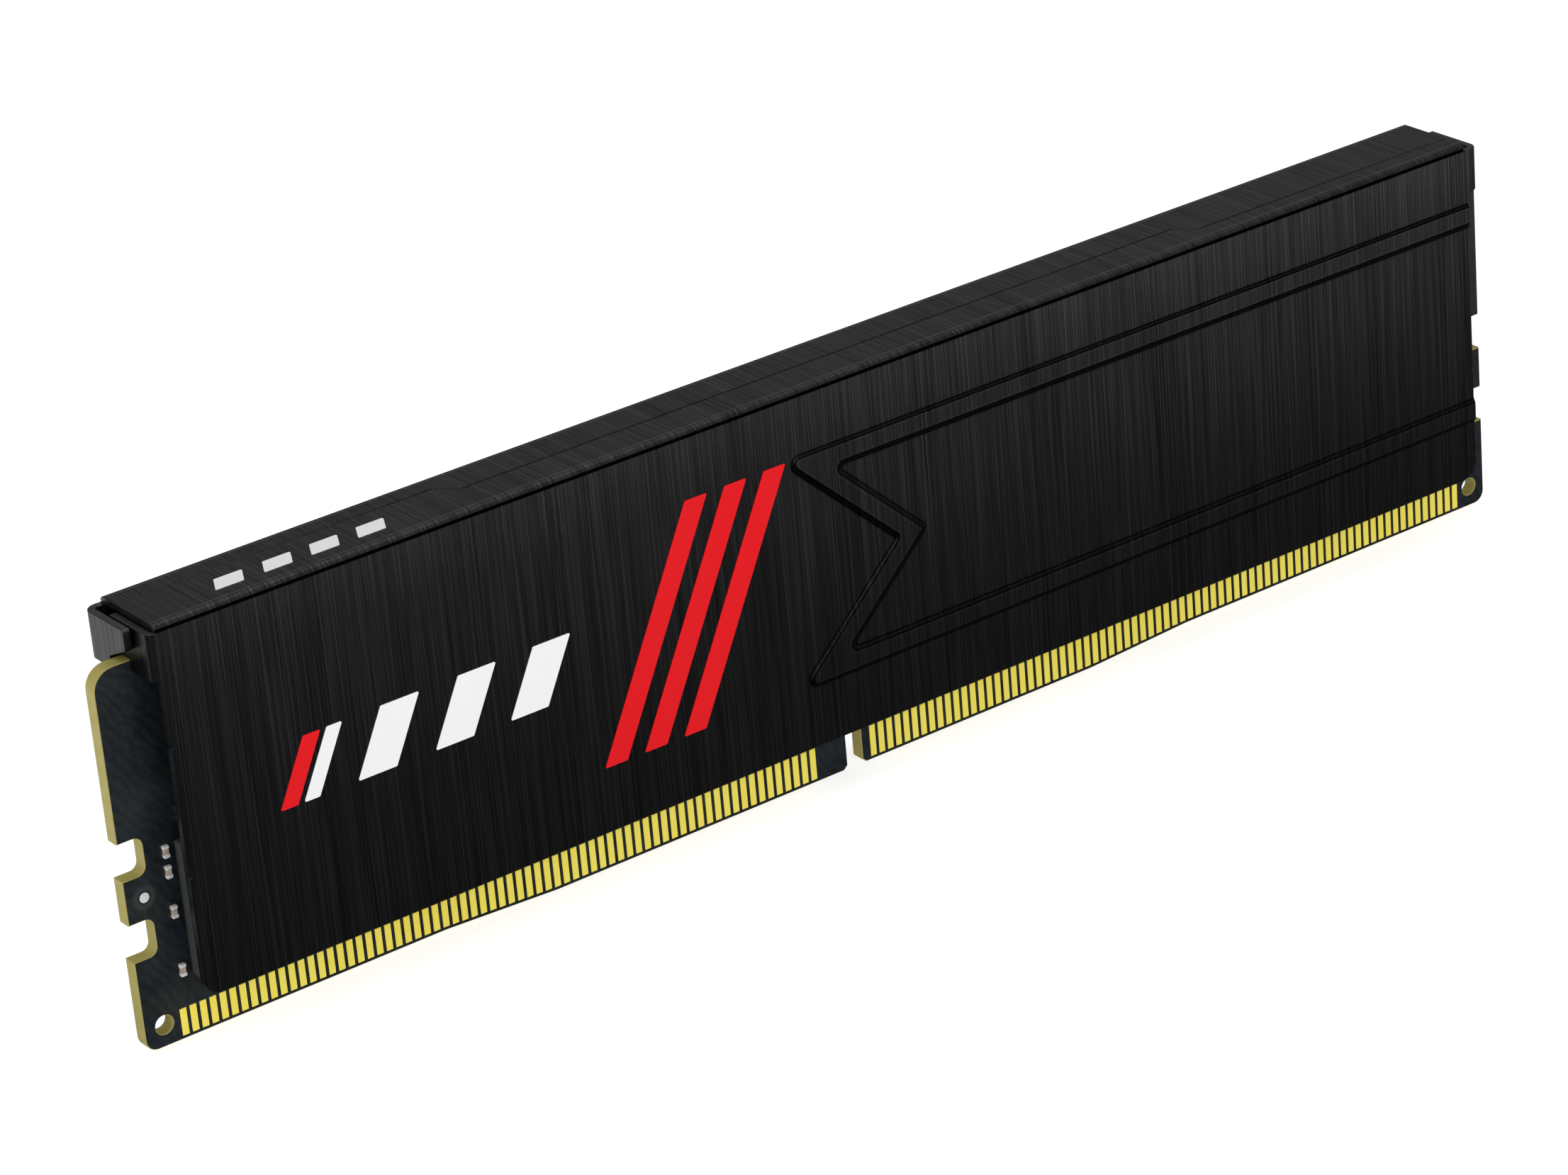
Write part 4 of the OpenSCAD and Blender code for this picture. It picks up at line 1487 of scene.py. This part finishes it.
class MODULE_OT_stage(bpy.types.Operator):
    """Sets the camera, the floor and the soft lights"""

    bl_idname = "module.stage"
    bl_label = "Stage"

    RIGHT = (0.79556356, -0.60041524, -0.08111815)
    UP = (0.31105991, 0.28987876, 0.90510333)
    BACK = (-0.51992341, -0.74529983, 0.41738208)
    # Where each light is and what it points at, its width and height, and its watts
    LIGHTS = {
        "Left softbox": ((-0.55, -0.12, 0.3), (-0.05, 0.0, 0.02), 0.5, 0.5, 0.7),
        "Front softbox": ((-0.1, -0.75, 0.35), (0.0, 0.0, 0.02), 0.6, 0.4, 1.5),
        "Top softbox": ((0.0, 0.1, 0.65), (0.0, 0.0, 0.03), 0.8, 0.5, 1.2),
        "Front card": ((0.09, -0.1, 0.002), (0.09, -0.1, 1.0), 0.26, 0.09, 0.07),
        "Left card": ((-0.105, 0.065, 0.002), (-0.105, 0.065, 1.0), 0.1, 0.09, 0.032),
    }
    FRONT_CARD_TURN = (math.pi, 0.0, math.radians(12.0))

    def execute(self, context):
        settings = context.scene.module_stage
        self.add_camera(context.scene, settings)
        half = settings.floor_size / 2
        mesh = bpy.data.meshes.new("floor")
        corners = [(-half, -half, 0.0), (half, -half, 0.0), (half, half, 0.0), (-half, half, 0.0)]
        mesh.from_pydata(corners, [], [(0, 1, 2, 3)])
        mesh.materials.append(floor_material(settings))
        floor = shown("floor", mesh)
        floor.visible_glossy = False
        floor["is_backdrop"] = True
        studio_world()
        for name, light in self.LIGHTS.items():
            softbox(name, *light)
        bpy.data.objects["Front card"].rotation_euler = self.FRONT_CARD_TURN
        context.scene.view_settings.view_transform = "Standard"
        return {"FINISHED"}

    def add_camera(self, scene, settings):
        """The camera, from its three axes."""
        data = bpy.data.cameras.new("Camera")
        data.lens = settings.lens
        data.sensor_width = 36.0
        data.sensor_fit = "HORIZONTAL"
        data.clip_start = 0.01
        data.clip_end = 20.0
        camera = bpy.data.objects.new("Camera", data)
        turn = Matrix((self.RIGHT, self.UP, self.BACK)).transposed()
        camera.matrix_world = Matrix.Translation(settings.camera_at) @ turn.to_4x4()
        scene.collection.objects.link(camera)
        scene.camera = camera


# ---- Panel, registering and running ----


STEPS = (
    MODULE_OT_stage,
    MODULE_OT_board,
    MODULE_OT_contacts,
    MODULE_OT_memory_chips,
    MODULE_OT_power_parts,
    MODULE_OT_small_parts,
    MODULE_OT_thermal_pads,
    MODULE_OT_heat_spreaders,
    MODULE_OT_prints,
    MODULE_OT_label,
)
SETTINGS = {
    "module_spreader": SpreaderSettings,
    "module_board": BoardSettings,
    "module_chips": ChipSettings,
    "module_prints": PrintSettings,
    "module_stage": StageSettings,
}


class MODULE_PT_panel(bpy.types.Panel):
    """Lists the steps that build the module"""

    bl_idname = "MODULE_PT_panel"
    bl_label = "Memory Module"
    bl_space_type = "VIEW_3D"
    bl_region_type = "UI"
    bl_category = "Module"

    def draw(self, context):
        for step in STEPS:
            self.layout.operator(step.bl_idname)
        for name, group in SETTINGS.items():
            box = self.layout.box()
            for key in group.__annotations__:
                box.prop(getattr(context.scene, name), key)


def register():
    for name, group in SETTINGS.items():
        bpy.utils.register_class(group)
        setattr(bpy.types.Scene, name, PointerProperty(type=group))
    for step in STEPS:
        bpy.utils.register_class(step)
    bpy.utils.register_class(MODULE_PT_panel)


def unregister():
    bpy.utils.unregister_class(MODULE_PT_panel)
    for step in reversed(STEPS):
        bpy.utils.unregister_class(step)
    for name, group in SETTINGS.items():
        delattr(bpy.types.Scene, name)
        bpy.utils.unregister_class(group)


def corners(pair):
    """A box's two corners as plain lists."""
    return [list(corner) for corner in pair]


def main():
    cad = corners(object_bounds())
    register()
    for step in STEPS:
        family, name = step.bl_idname.split(".")
        getattr(getattr(bpy.ops, family), name)()
    visual = corners(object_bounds())


if __name__ == "__main__":
    main()
